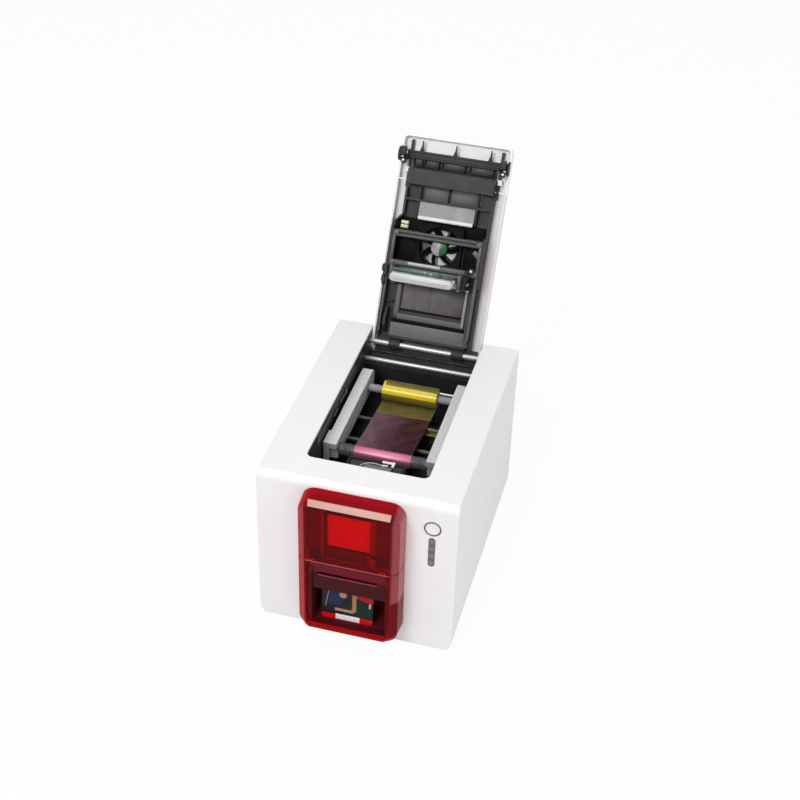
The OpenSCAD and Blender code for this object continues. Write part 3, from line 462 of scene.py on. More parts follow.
# Circuit board: green lacquer over lighter tracks, with tinned dots
def circuit(colour, copper):
    f = Finish("plain", colour, 0.32)
    bricks = f.node("ShaderNodeTexBrick", None, {"Vector": f.place, "Scale": 90, "Mortar Size": 0.06,
                                                 "Color1": (0, 0, 0, 1), "Color2": (0, 0, 0, 1),
                                                 "Mortar": (1, 1, 1, 1)})
    tracks = bricks * f.noise(120, 1).above(0.45, 0.1)
    pads = 1 - f.cells(260).above(0.22, 0.04)
    shade = f.mixed(colour, copper, tracks)
    shade = f.mixed(shade, rgb(190, 195, 190), pads * f.noise(50, 0).above(0.5, 0.05))
    return f.done(shade, 0.32, tracks, 0.00006, Metallic=pads * 0.4)


# The chute: deep red behind the slot's cover, darker under the slot, warmer inside
def chuteFinish():
    f = Finish("chuteShell", rgb(90, 20, 28), 0.42, Specular_IOR_Level=0.08)
    x, y, z = f.axes()
    front = 1 - y.above(-19.2, 0.3)
    cover = f.mixed(rgb(66, 15, 21), rgb(112, 16, 34), z.above(99, 2))
    return f.done(f.mixed(rgb(86, 22, 28), cover, front), f.noise(120, 2) * 0.16 + 0.34, f.noise(1800, 2), 0.00003)


# Grained pale grey on the rails, paler on their tops and darker on their sides as painted light; dark on the cross
# rods between them, with an olive painted reflection of the film towards the right
def railFinish():
    f = Finish("railGrain", rgb(206, 206, 208), 0.5)
    x, y, z = f.axes()
    fine = f.noise(520, 3, 0.6)
    # Painted light: the rails' tops paler, their sides darker
    paintedLightTone = f.mixed(rgb(176, 176, 179), rgb(226, 226, 228), z.above(171.8, 0.6))
    shade = f.mixed(paintedLightTone, rgb(122, 122, 125), (1 - fine.above(0.42, 0.3)) * 0.5)
    rods = 1 - x.math("ABSOLUTE").above(46.6, 0.6)
    # The olive towards the right of the cross rods is a painted reflection of the film
    shade = f.mixed(shade, f.mixed(rgb(58, 57, 59), rgb(96, 88, 66), x.above(31, 3)), rods)
    return f.done(shade, f.noise(90, 2) * 0.16 + 0.42, fine, 0.00012)


# Lid shell: white outside, greyer inside as painted shade
def lidFinish():
    f = Finish("lidShell", rgb(241, 239, 240), 0.36)
    x, s, h = f.lidAxes()
    # Painted shade: greyer on the inner side, below 10.6 mm towards the cover
    paintedLightTone = f.mixed(rgb(222, 216, 219), rgb(241, 239, 240), h.above(10.6, 0.8))
    return f.done(f.mixed(paintedLightTone, scaled(rgb(222, 216, 219), 0.97), f.noise(26, 3) * 0.3), f.noise(90, 2) * 0.16 + 0.28,
                  f.noise(2600, 2, 0.6), 0.00004)


# Pusher: black plate, pale grip standing on it
def pusherFinish():
    f = Finish("pusher", rgb(40, 39, 42), 0.4)
    x, y, z = f.axes()
    grip = z.above(169.6, 0.4)
    return f.done(f.mixed(rgb(38, 37, 40), rgb(112, 112, 114), grip), f.noise(200, 2) * 0.14 + 0.34, f.noise(1800, 2),
                  0.00003)


# Colour, roughness, drift in shade, specular level, depth of the grain in thousandths of a mm, pale specks
plastics = {
    "white": ((241, 239, 240), 0.36, 0.012),
    "greySide": ((232, 228, 230), 0.42, 0.012),
    "black": ((40, 39, 42), 0.46, 0.12, 0.3, 60, 0.008),
    "blackSmooth": ((38, 37, 40), 0.3, 0.1, 0.3, 20),
    "nearBlack": ((24, 23, 25), 0.5, 0.1, 0.2),
    "darkGrey": ((74, 73, 76), 0.42, 0.08, 0.5, 40, 0.015),
    "midGrey": ((150, 150, 154), 0.4, 0.05),
    "paleGrey": ((196, 196, 198), 0.36),
    "redRib": ((138, 18, 34), 0.35, 0.06, 0.15, 20),
    "card": ((246, 244, 242), 0.3, 0.01, 0.5, 10),
    "foil": ((96, 97, 99), 0.3, 0.14, 0.5, 10),
    "headMetal": ((186, 188, 188), 0.28, 0.06, 0.5, 10),
    "darkMaroon": ((82, 20, 27), 0.45, 0.08, 0.1, 30),
    # Painted reflection of the lamp on the tray's top bevel
    "bevelGlare": ((204, 160, 146), 0.35, 0.03, 0.5, 10),
    "panelGrey": ((88, 87, 90), 0.4, 0.06, 0.35, 40, 0.015),
    "darkBrown": ((44, 34, 34), 0.45, 0.08, 0.2),
    "olive": ((118, 114, 26), 0.3, 0.1),
    # Painted highlight along the slot's lower edge
    "slotEdgeHighlight": ((140, 62, 70), 0.35, 0.05),
    "ringGrey": ((98, 97, 100), 0.34, 0.06),
    "lowerGrey": ((102, 99, 101), 0.42, 0.12, 0.35, 40, 0.015),
    "smoke": ((54, 53, 55), 0.4, 0.12, 0.3, 40, 0.015),
    # Near black, darker than black plastic: painted shade in recesses, gaps and behind openings
    "shadeBlack": ((9, 9, 10), 0.6, 0.1, 0.1),
    "carrier": ((66, 65, 68), 0.38, 0.14, 0.5, 40, 0.02),
    # Painted highlight for the deflector's bent edge
    "lip": ((232, 232, 232), 0.3, 0.2, 0.5, 10),
    "redDim": ((96, 14, 26), 0.4, 0.08, 0.12, 20),
    "cream": ((228, 218, 186), 0.4),
}
look = {key: moulded(*row) for key, row in plastics.items()}
look.update({
    "steel": brushed(rgb(178, 180, 184), 0.34, (0.04, 1, 1)),
    "plate": brushed(rgb(92, 92, 96), 0.42, (1, 0.05, 1)),
    "darkPlate": brushed(rgb(52, 51, 54), 0.4, (1, 0.05, 1)),
    "chrome": polished(rgb(204, 204, 207), 0.36),
    # The red's last entry: where its right flank starts, the pale pink painted reflection there and the darker red
    # below
    "red": clearTinted((0.96, 0.012, 0.02, 1), rgb(184, 14, 34), (0.08, 0.36), (1, 0.9, 0.9, 1),
                       (43.6, rgb(186, 110, 120), rgb(108, 8, 28))),
    "rubber": rubberSkin(rgb(34, 34, 36)),
    "cleanRubber": rubberSkin(rgb(96, 140, 176), 0.5),
    "belt": rubberSkin(rgb(26, 26, 28), 0.6),
    "board": circuit(rgb(24, 84, 60), rgb(40, 120, 80)),
    "headGreen": circuit(rgb(52, 82, 72), rgb(72, 112, 96)),
    "chute": chuteFinish(), "railGrain": railFinish(), "lidShell": lidFinish(), "pusher": pusherFinish(),
})
for key, material in look.items():
    material.name = key + "Look"
print("finishes made:", len(look))

# The nodes shown as softened copies: for each finish, the width of their edges in mm
soft = {
    "white": {"front_top_cover": 0.5, "lid_button": 0.5},
    "greySide": {"left_side_panel": 0.4, "right_side_panel": 0.4, "rear_panel": 0.4, "base_tray": 0.4},
    "black": {"well_liner": 0.4, "power_inlet": 0.3, "switch_housing": 0.4, "lid_inner_frame": 0.35,
              "lid_frame_ribs": 0.3, "lid_stay": 0.4},
    "plate": {"hinge_brackets": 0.4, "left_frame_plate": 0.3, "right_frame_plate": 0.3},
    "darkPlate": {"card_path_plate": 0.2},
    "darkBrown": {"card_feeder": 0.4},
    "pusher": {"stack_pusher": 0.4},
    "red": {"feeder_door": 0.5, "output_hopper": 0.5},
    "chute": {"hopper_chute": 0.3},
    "board": {"main_board": 0.1, "front_board": 0.1},
    "steel": {"usb_port": 0.2, "network_port": 0.2, "door_hinge_pin": 0.2, "drive_motor": 0.6, "platen_shaft": 0.2,
              "motor_pulley": 0.2},
    "blackSmooth": {"power_switch": 0.3},
    "lidShell": {"lid_cover": 0.5},
    "shadeBlack": {"fan_housing": 0.4},
    "midGrey": {"cleaning_cartridge": 0.3},
    "belt": {"drive_belt": 0.15},
}
for key, widths in soft.items():
    for node, width in widths.items():
        softened(node, width, key)
print("softened copies")

feet = {"x": 72, "y": (24, 253), "r": 7, "height": 3.02}
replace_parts(piece("feet", [lathe("z", (sx * feet["x"], y, 0),
                                 [(0, 4.6), (0, 6.2), (0.5, feet["r"]), (feet["height"], feet["r"])], 32)
                           for sx in (-1, 1) for y in feet["y"]], "rubber", "printer", "rubber"), "rubber_feet")

# A dark plate above the slots in the base, standing for the shade under the printer seen through them
underShade = {"x": 64, "y": (67, 133), "z": 5.5, "thick": 0.6}
piece("underShadePlate", slab(roundRect((-underShade["x"], underShade["x"]), underShade["y"], 3), underShade["z"], underShade["z"] + underShade["thick"], 0.2,
                       steps=2), "nearBlack")
rods = {"hingeEnds": (-65, 65), "tieEnds": (-64.4, 64.4), "tieR": 2.48}
hingeR = (rodHigh.z - rodLow.z) * 500
hingeAt = (0, hinge[1] - frontY, hinge[2])
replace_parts(piece("hingeRod", bar("x", hingeAt, rods["hingeEnds"], hingeR, 0.5), "chrome", "printer", "chrome"),
            "hinge_rod")
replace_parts(piece("tieBar", bar("x", (0, *middle("rear_tie_bar")), rods["tieEnds"], rods["tieR"], 0.5), "chrome",
                  "printer", "chrome"), "rear_tie_bar")
print("casing and chassis")

cards = {"half": 27, "length": 85.6, "thick": 0.76, "corner": 3.2, "count": 54, "y": -10, "z": 126, "lean": 4}
rng = np.random.default_rng(5)
outline = roundRect((-cards["half"], cards["half"]), (0, cards["length"]), cards["corner"], 3)
pile = []
for i in range(cards["count"]):
    dx, dy = rng.uniform(-0.18, 0.18), rng.uniform(-0.22, 0.22)
    z = cards["z"] + i * cards["thick"]
    pile.append(moved(slab(outline, z, z + cards["thick"] - 0.03, 0.12, steps=1), (dx, cards["y"] + dy, 0)))
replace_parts(piece("cardPile", pile, "card", "printer", "card_white"), "card_stack")

low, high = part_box("printed_card")
lean = math.radians(cards["lean"])
cardFoot = np.array([(low.x + high.x) * 500, low.y * 1000 - frontY, low.z * 1000 + cards["thick"] * math.sin(lean)])


# A print of blocks, a disc and bent bars, each a colour and a mask laid over those before it. Its own axes are
# x and the height up the leaning card, and noise moves the masks' edges
def printedFace():
    f = Finish("cardPrint", rgb(20, 22, 40), 0.3, Specular_IOR_Level=0.15)
    x, y, z = f.axes()
    u, v = x - cardFoot[0], (z - cardFoot[2]) * (1 / math.cos(lean))
    warp = (f.noise(95, 4, 0.65) - 0.5) * 6
    shade = f.mixed(rgb(12, 12, 16), rgb(34, 34, 48), f.noise(150, 4, 0.7).above(0.5, 0.4))
    bend = ((u - 3) * (u - 3) + (v - 36) * (v - 36)).math("SQRT")
    disc = ((u + 4.5) * (u + 4.5) + (v - 33) * (v - 33)).math("SQRT")
    for colour, mask in [
            ((26, 35, 74), (u + warp * 0.5).between(-19.5, -7, 1.2) * (v + warp * 0.5).between(19, 37, 1.2)),
            ((120, 132, 124), (u - v * 0.159 + 25.4).between(-0.45, 0.45, 0.4) * v.above(15, 1)),
            ((178, 20, 36), (u + v * 0.5 + warp * 0.5).above(25.5, 1) * (v + u * 0.22 + warp).above(34, 1.4)),
            ((22, 38, 30), (u + warp).above(8, 1) * (1 - (v + u * 0.22 + warp).above(33, 1.4))),
            ((128, 80, 46), (bend + warp * 0.4).between(3.6, 7.4, 0.9) * v.above(36, 2)),
            ((158, 120, 80), (u + warp * 0.4).between(5, 9.4, 0.9) * v.between(14, 37, 1.5)),
            ((170, 134, 104), (u + warp).between(-12.5, 7.5, 1.2) * (v + warp * 0.3).between(11.6, 15, 0.9)),
            ((176, 130, 124), 1 - (disc + warp * 0.6).above(3.9, 1.6)),
            ((214, 176, 176), (u + warp * 0.4).between(22.5, 24.4, 0.6) * v.between(22, 28, 1)),
            ((212, 20, 28), 1 - (v - u * 0.02).above(6.6, 0.6)),
            ((240, 238, 236), u.between(-12, 13.2, 0.4) * v.between(0.7, 7.4, 0.4))]:
        shade = f.mixed(shade, rgb(*colour), mask)
    return f.done(shade, f.noise(200) * 0.1 + 0.28)


printed = turned(slab(outline, 0, cards["thick"], 0.15, steps=2), (1, 0, 0), 90)
printed = turned(moved(printed, (0, cards["thick"], 0)), (1, 0, 0), -cards["lean"])
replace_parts(piece("printedCard", moved(printed, cardFoot), printedFace(), "printer", "card_print"), "printed_card")

# Round the cards: a dark cap on the stack, a lip that holds them on the right, a dark block under the stack that
# stands for painted shadow, the guides' edges, the fills beside the chute and the slot's lower rim, a pale line
# that is a painted highlight
gate = {"y": (-12.9, -11.3), "lip": (18.2, 24.4), "right": (24.8, 44), "z": (126, 171)}
piece("stackCap", roundBox((-27.6, 27.6), (-10.9, 7.4), (167.2, 169.6), 0.4), "nearBlack")
# The middle box, under the stack, is a dark block that stands for painted shadow
guardsAndShadow = boxes((*gate["right"], -12.4, -11, *gate["z"], 0.5), (-27, 15.4, *gate["y"], 112.6, 125.2, 0.5),
               (-47, -32.6, *gate["y"], 120, 171, 0.5))
piece("stackGuardsAndShadow", guardsAndShadow, "darkMaroon")
frames = boxes((*gate["lip"], -12.5, -10.9, 125.8, 170, 0.4), (-32, -28.4, -13.4, -11.2, 108, 171, 0.5),
               (15.8, 17.8, -13.6, -11.4, 104, 126, 0.4), (-31, 45, -13.6, -11.4, 106.8, 111.6, 0.5))
piece("stackFrame", frames, "redRib")
fills = boxes((-40.6, 37, -23.4, -19, 107, 113.6, 0.4), (-43.6, -40.4, -22.6, -1, 34, 106, 0.5),
              (40.4, 43, -20, -1, 34, 106, 0.5))
piece("chuteFills", fills, "redDim")
# A pale pink line along the slot's lower edge: a painted highlight
piece("slotEdgeHighlight", roundBox((-32.2, 28.6), (-22.2, -21.3), (94.9, 95.8), 0.3), "slotEdgeHighlight")

# On the tray: a pale strip along the top bevel, a painted reflection of the lamp, and a pale hem where door and hopper
# meet, whose pale front is a painted highlight
strip = [(-41.2, 0), (41.2, 0), (40.9, 7.7), (-43.0, 7.7)]
slope = math.degrees(math.atan2(3.5, 8))
shape = turned(slab(strip, 0.12, 0.34, 0.1, steps=2), (1, 0, 0), slope)
piece("bevelStrip", moved(shape, (0, -25.55, 185.2)), "bevelGlare", "feeder_door", "red_clear")
hem = {"r": 0.72, "side": [(52, -0.8), (51, -17.2), (49.6, -18.8), (43.8, -24.4), (42, -25.1)]}
path = [(tray["middle"] - x, y, tray["seam"]) for x, y in hem["side"]]
path += [(tray["middle"] + x, y, tray["seam"]) for x, y in hem["side"][::-1]]


# Pale along the front as a painted highlight, dark red round the sides
def hemFinish():
    f = Finish("hem", rgb(176, 92, 98), 0.3)
    x, y, z = f.axes()
    front = 1 - y.above(-24.6, 0.5)
    return f.done(f.mixed(rgb(96, 22, 36), rgb(176, 92, 98), front), f.noise(200) * 0.1 + 0.28)


piece("doorHem", tube(path, hem["r"], 10), hemFinish(), "feeder_door", "red_clear")
print("cards")

control = {"x": 77.4, "z": 164.8, "r": 7.3, "ring": (7.42, 8.8), "lightZ": (116, 153.3), "lightHalf": 3.5}
buttonAt = (control["x"], 0, control["z"])
dish = [(6.5, 0.01), (6.5, 3), (2.5, 3), (2.5, control["r"]), (0.2, control["r"]), (-0.2, 7.1), (-0.3, 6.7),
        (-0.22, 5.8), (0.15, 4.2), (0.35, 2.2), (0.42, 0.01)]
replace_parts(piece("controlButton", lathe("y", buttonAt, dish, 56), "white", "control_button", "white_shell"),
            "control_button")
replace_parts(piece("buttonRing", ring("y", buttonAt, (-0.5, 2.5), *control["ring"], 0.3, 64), "ringGrey", "printer",
                  "grey_plastic"), "button_ring")


# Smoked lens: dark plastic with paler lamps showing behind it
def smokedLens():
    f = Finish("smokedLens", rgb(102, 97, 102), 0.18)
    x, y, z = f.axes()
    step = (z - control["lightZ"][0]).math("MODULO", 9.3)
    lamp = step.between(2.4, 6.9, 1.2) * (x - control["x"]).math("ABSOLUTE").math("LESS_THAN", 2.2)
    return f.done(f.mixed(rgb(98, 93, 98), rgb(122, 117, 121), lamp), f.noise(300) * 0.1 + 0.14, f.noise(1500, 2),
                  0.00002)


lensX = (control["x"] - control["lightHalf"], control["x"] + control["lightHalf"])
lens = slab(roundRect(lensX, control["lightZ"], 3.4, 5), -0.2, 4, 0.3, "y")
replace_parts(piece("statusLens", lens, smokedLens(), "printer", "grey_plastic"), "status_light")
print("controls")

ribbon = {"supply": (209, 162), "takeup": (99, 160.5), "supplyR": 10.5, "takeupR": 7.5, "half": 30, "dip": (180, 155),
          "core": 6, "shaft": 4.2, "takeShaft": 6.3, "low": 0.32, "sag": 1.2, "thick": 0.12}


# A wound roll: rings of film ends on its faces and a smooth outer skin
def woundRoll(name, at, core, r, finish, body, slotName):
    half = ribbon["half"]
    steps = np.arange(core, r, 0.35)
    face = [(half + 0.12 * math.sin(7 * s) + 0.1 * (k % 2), s) for k, s in enumerate(steps)]
    profile = [(-t, s) for t, s in face] + [(-half + 0.15, r), (half - 0.15, r)] + face[::-1]
    return piece(name, lathe("x", (0, *at), profile, 64, True), finish, body, slotName, sharp=50)


# Film on a roll: shade and gloss follow noise drawn out along the roll
def filmFinish(name, colour, roughness, metallic):
    f = Finish(name, colour, roughness, Metallic=metallic)
    wave = f.noise(500, 3, 0.55, f.mapped((0.15, 1, 1)))
    return f.done(f.mixed(scaled(colour, 0.72), colour, wave), wave * 0.14 + (roughness - 0.07), wave, 0.00012)


yellow = filmFinish("ribbonYellow", rgb(238, 212, 8), 0.2, 0.0)
pink = filmFinish("ribbonPink", rgb(214, 128, 158), 0.42, 0.7)
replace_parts(woundRoll("supplyRoll", ribbon["supply"], ribbon["core"], ribbon["supplyR"], yellow, "supply_spool",
                      "ribbon_yellow"), "supply_roll")
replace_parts(woundRoll("takeupRoll", ribbon["takeup"], ribbon["takeShaft"], ribbon["takeupR"], pink, "takeup_spool",
                      "ribbon_pink"), "takeup_roll")


# A spool: a core under the film, shafts with shoulders out to the rails, and journals at both ends
def spool(name, at, core, shaft, finish, body, slotName):
    side = [(-52, 0.01), (-52, 2.6), (-51.6, 3), (-47.4, 3), (-47.1, shaft - 0.4), (-46.7, shaft), (-38, shaft),
            (-37.6, shaft + 0.3), (-36, shaft + 0.3), (-35.6, shaft), (-31.2, shaft), (-31, core), (-30.2, core)]
    profile = side + [(-t, r) for t, r in side[::-1]]
    return piece(name, lathe("x", (0, *at), profile, 44), finish, body, slotName)


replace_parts(spool("supplyCore", ribbon["supply"], ribbon["core"], ribbon["shaft"], "midGrey", "supply_spool",
                  "grey_plastic"), "supply_core")
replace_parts(spool("takeupCore", ribbon["takeup"], ribbon["takeShaft"], ribbon["takeShaft"], "darkGrey", "takeup_spool",
                  "black_plastic"), "takeup_core")


# The film: from the supply roll down to its dip, at the share low of the path, and up to the take-up roll. Points
# averaged with their neighbours 14 times give the bend, and a half sine the sag
def filmPath(steps=90):
    low = ribbon["low"]
    dip, s, t = np.array(ribbon["dip"], float), np.array(ribbon["supply"], float), np.array(ribbon["takeup"], float)

    def touch(c, r, side):
        v = c - dip
        d = np.linalg.norm(v)
        a = math.atan2(v[1], v[0]) + side * math.asin(r / d)
        return dip + math.sqrt(d * d - r * r) * np.array([math.cos(a), math.sin(a)])
    a, b = touch(s, ribbon["supplyR"] + 0.6, -1), touch(t, ribbon["takeupR"] + 0.4, -1)
    u = np.linspace(0, 1, steps)[:, None]
    rise = (u - low) / (1 - low)
    straight = np.where(u < low, a + (dip - a) * (u / low), dip + (b - dip) * rise)
    for _ in range(14):
        straight[1:-1] = (straight[:-2] + 2 * straight[1:-1] + straight[2:]) / 4
    sag = np.sin(np.clip(rise, 0, 1) * math.pi) * ribbon["sag"]
    return straight - np.concatenate([0 * sag, sag], 1)


# The film's surface: crossing sines that die out at both rolls, and half a cosine across its width
def filmSheet():
    path = filmPath()
    x = np.linspace(-ribbon["half"], ribbon["half"], 49)
    u = np.linspace(0, 1, len(path))[:, None]
    inside = np.sin(u * math.pi) ** 0.7
    ripple = 0.35 * np.sin(x / 5 + 9 * u) * np.sin(7 * math.pi * u + x / 16)
    crease = 0.25 * np.sin(x / 2.6 - 14 * u) * (u > 0.35)
    wave = inside * (ripple + crease - 0.5 * np.cos(x / ribbon["half"] * math.pi / 2))
    top = np.stack([x + 0 * u, path[:, :1] + 0 * x, path[:, 1:] + wave], -1)
    return sheet(top, top - (0, 0, ribbon["thick"]))


# Dye panels on thin film: yellow to olive near the roll, then magenta, each nearly see-through
def filmPanels():
    f = Finish("ribbonFilm", rgb(80, 50, 45), 0.26, Specular_IOR_Level=0.3)
    x, y, z = f.axes()
    d = y - ribbon["dip"][0]
    wave = f.noise(70, 3, 0.5, f.mapped((1, 0.35, 1)))
    olive = f.mixed(rgb(90, 82, 44), rgb(120, 110, 64), wave)
    plum = f.mixed(rgb(62, 28, 40), rgb(128, 96, 112), (wave * 0.5 - x * 0.015 - 0.05).clamped())
    shade = f.mixed(plum, olive, d.above(-1, 0.4))
    shade = f.mixed(shade, rgb(120, 112, 48), d.between(-2.2, -0.6, 0.4))
    return f.done(shade, wave * 0.15 + 0.2, wave, 0.0006, Alpha=wave * 0.04 + 0.95)


# Loose turns on the supply roll: arcs round its axis whose radius grows towards the free edge
def looseTurn(start, end, r0, r1, x0, x1, steps=26):
    a = np.radians(np.linspace(start, end, steps))[:, None]
    grow = np.linspace(0, 1, steps)[:, None]
    x = np.linspace(x0, x1, 25)[None, :]
    r = r0 + (r1 - r0) * grow ** 1.6 + 0.18 * np.sin(x / 4 + 3 * grow) * grow
    y, z = ribbon["supply"][0] + r * np.cos(a) + 0 * x, ribbon["supply"][1] + r * np.sin(a) + 0 * x
    thick = ribbon["thick"]
    inner = np.stack([x + 0 * a, y - thick * np.cos(a), z - thick * np.sin(a)], -1)
    return sheet(np.stack([x + 0 * a, y, z], -1), inner)


# Film of the loose turns: olive, nearly see-through
def oliveFilm():
    f = Finish("oliveFilm", rgb(104, 100, 30), 0.22)
    wave = f.noise(160, 3, 0.5, f.mapped((0.2, 1, 1)))
    return f.done(f.mixed(rgb(86, 82, 30), rgb(128, 120, 48), wave), wave * 0.12 + 0.16, wave, 0.0004,
                  Alpha=wave * 0.05 + 0.92)


turns = [looseTurn(112, 8, 10.8, 12.6, -27.4, 30.6), looseTurn(166, 262, 10.75, 11.0, -29.8, 29.8)]
piece("looseTurns", turns, oliveFilm(), "supply_spool", "ribbon_film", sharp=80)
film = piece("ribbonFilm", filmSheet(), filmPanels(), "printer", "ribbon_film", sharp=80)
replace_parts(film, "ribbon_film")
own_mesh(film)

# In the well: the clip and arc of the finger grip, marks on the liner and the guide's flag
clips = boxes((5, 18.4, 76.8, 79.4, 169.6, 171.4, 0.5), (15.6, 18.4, 72.4, 79.4, 169.6, 172, 0.5),
              (6, 12, 72.6, 74, 169.4, 170.8, 0.4))
arc = [(-15.6, 66.2, 170.6), (-11, 70.6, 170.9), (-5, 72.8, 171), (3.6, 72.4, 171), (9, 70, 170.9),
       (12.8, 67.2, 170.6)]
piece("gripArc", [tube(curveThrough(arc, 40), 0.55, 10),
                  tube(curveThrough([(x * 0.8 - 0.5, y - 4.4, z) for x, y, z in arc], 36), 0.4, 8)], "paleGrey",
      "printer", "grey_plastic")
piece("gripClip", clips, "card", "printer", "grey_plastic")
bits = boxes((-62.7, -61.4, 151, 172, 178.2, 180, 0.5), (-62.7, -61, 168, 174, 176, 182, 0.6),
             (-62.7, -61.2, 128, 141, 176.6, 178.6, 0.5), (-62.7, -61.6, 72, 80, 180, 186, 0.5),
             (-62.7, -61.6, 92, 120, 186.4, 187.6, 0.4))
piece("linerBits", bits, "panelGrey")
piece("guideFlag", roundBox((25, 45), (159.5, 171), (149.2, 150), 0.3), "olive", "printer", "ribbon_yellow")
softened("cassette_frame", 0.9, "railGrain", 3)
print("ribbon")


# A roller on its shaft: rubber body with soft rims, its shaft, and a toothed pulley on the right
def roller(name, node, at, half, body, r=6.5, shaft=2.5, pulley=7.0):
    steps = [(-65, 0.01), (-65, 2.1), (-64.6, shaft), (-half, shaft), (half, shaft), (66, shaft), (66, 0.01)]
    shapes = [bar("x", at, (-half, half), r, 0.5, 44), lathe("x", at, steps, 28),
              moved(slab(toothed(24, pulley - 0.5, pulley), 66.2, 71.2, 0.1, "x"), at)]
    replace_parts(piece(name, shapes, "rubber", body, "rubber"), node)


roller("pickupRoller", "pickup_roller", (0, 64, 119.1), 22, "pickup")
roller("entryRoller", "entry_roller", (0, 86.3, 119.5), 30, "entry")
cleanAt = (0, *middle("cleaning_roller"))
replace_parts(piece("cleaningRoller", [bar("x", cleanAt, (-30, 30), 6, 0.5, 44), bar("x", cleanAt, (-33, 33), 2, 0.3)],
                  "cleanRubber", "cleaning", "clean_rubber"), "cleaning_roller")
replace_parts(piece("platenRoller", ring("x", (0, *middle("platen_roller")), (-31, 31), 3.5, 6.5, 0.4), "rubber",
                  "platen", "rubber"), "platen_roller")
print("drive")


# Screws: a domed head with a four-lobed recess drawn as a dark mark of painted shade, at the rear panel's corners and
# on the inlets' plate
def screwHeads(places, y, r):
    heads = [lathe("y", (x, y, z), [(-0.2, 0.01), (-0.2, r), (0.15, r), (0.42, r * 0.72), (0.5, r * 0.3), (0.5, 0.01)],
                   28) for x, z in places]
    marks = [moved(turned(slab(toothed(4, r * 0.2, r * 0.52), 0.36, 0.56, 0.05, "y", 1), (0, 1, 0), 20 + 25 * k),
                   (x, y, z)) for k, (x, z) in enumerate(places)]
    return heads, marks


rear = {"y": 281, "screws": [(-88, 28), (88, 28), (-88, 176), (88, 176), (0, 40)], "screwR": 2.7}
heads, marks = screwHeads(rear["screws"], rear["y"], rear["screwR"])
piece("rearScrews", heads, "steel", "printer", "steel")
# The recesses are dark four-lobed marks on the heads: painted shade
piece("rearScrewRecessShade", marks, "shadeBlack")


def lidPiece(name, shapes, finish, body="lid", slotName="black_plastic", **more):
    return piece(name, shapes, finish, body, slotName, place=lid, **more)


# Latch bar: a beam with three shallow boxes under it, fins towards the front edge and a hub and hook at each end
latch = {"s": (205.4, 213.2), "h": (-2, 5.6), "end": 58.4, "hub": (208.2, 0.4), "hubR": 7.8, "more": 1.7, "hook": -13,
         "boxes": ((-45.5, -34.6), (-33.4, -16.4), (-13.6, 12.6), (17.4, 44.5)), "boxS": (196.9, 206.4),
         "fins": (-38.5, -1, 38)}


# The bar with its boxes, fins, hooks and hubs
def latchBar():
    s, h, end = latch["s"], latch["h"], latch["end"]
    shapes = boxes((-end, end, *s, *h, 1.2), (2 - end, end - 2, s[1] - 2.4, s[1] + 0.2, h[0] - 1.4, h[0] + 1, 0.6),
                   (-50, 50, s[0] - 0.6, s[0] + 1, h[0] - 0.9, h[1] - 1, 0.4),
                   (-46.5, 46.5, *latch["boxS"], 2.6, 4.4, 0.4))
    for x0, x1 in latch["boxes"]:
        low, high = latch["boxS"]
        for part in [((x0, x1), (low, low + 1.1)), ((x0, x0 + 1.1), (low, high)), ((x1 - 1.1, x1), (low, high))]:
            shapes.append(roundBox(*part, (-2.6, 3), 0.45))
    for x in latch["fins"]:
        fin = [(x - 2.9, s[1] - 1), (x + 2.2, s[1] - 1), (x + 0.9, s[1] + 6), (x + 0.7, s[1] + 11.6),
               (x - 0.4, s[1] + 11.6), (x - 0.8, s[1] + 6)]
        shapes.append(slab(fin, 2.2, 5.4, 0.4, "z", 2))
    for side, more in ((-1, latch["more"]), (1, 0)):
        x, tip = side * (end - 3), latch["hook"]
        hook = [(s[0] + 0.4, 0), (s[0] + 0.2, tip + 6), (s[0] + 1.6, tip + 0.6), (s[0] + 5, tip),
                (s[1] + 2.4, tip + 0.8), (s[1] + 3, tip + 3), (s[1] + 1.6, tip + 4.8), (s[1] - 0.6, tip + 6),
                (s[1] - 0.2, 0)]
        shapes.append(slab(hook[::-1], x - 2.6, x + 2.6, 0.8, "x", 3))
        for t0, t1, r in [(-6.6, -2, 6.2), (-2.4, 0.6, 5.2), (0.2, 2.5 + more, latch["hubR"])]:
            ends = sorted((side * (end + t0), side * (end + t1)))
            shapes.append(bar("x", (0, *latch["hub"]), ends, r, 0.7, 36))
        shapes.append(turned(roundBox((x - 2.2, x + 2.2), (198, 203), (-8, -2), 0.7), (1, 0, 0), 20, (x, 201, -4)))
    return shapes


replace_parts(lidPiece("latchBar", latchBar(), "black", "latch"), "latch_bar")
low, high = latch["boxS"]
panels = [roundBox((x0 + 1.3, x1 - 1.3), (low + 1.4, high - 1), (1.2, 2.8), 0.4) for x0, x1 in latch["boxes"]]
lidPiece("latchPanels", panels, "smoke", "latch")
lidPiece("latchShade", roundBox((-47, 47), (194.3, 201), (4.9, 5.9), 0.2), "smoke")
pins = []
for side in (-1, 1):
    pins += [bar("x", (side * 53, *latch["hub"]), (-5.4, 5.4), 1.7, 0.3, 20),
             bar("x", (side * 53.4, 213.4, -6), (-1.6, 1.6), 1.3, 0.3, 16)]
    for x, half, *row in [(55.5, 1.4, 199.8, 202.4, -8.6, -5.4, 0.5), (57, 1.4, 204, 205.4, -8.4, -7, 0.4),
                          (53, 1.2, 208.6, 211.6, -8.2, -5.8, 0.5)]:
        pins += boxes((side * x - half, side * x + half, *row))
lidPiece("latchPins", pins, "chrome", "latch", "chrome")

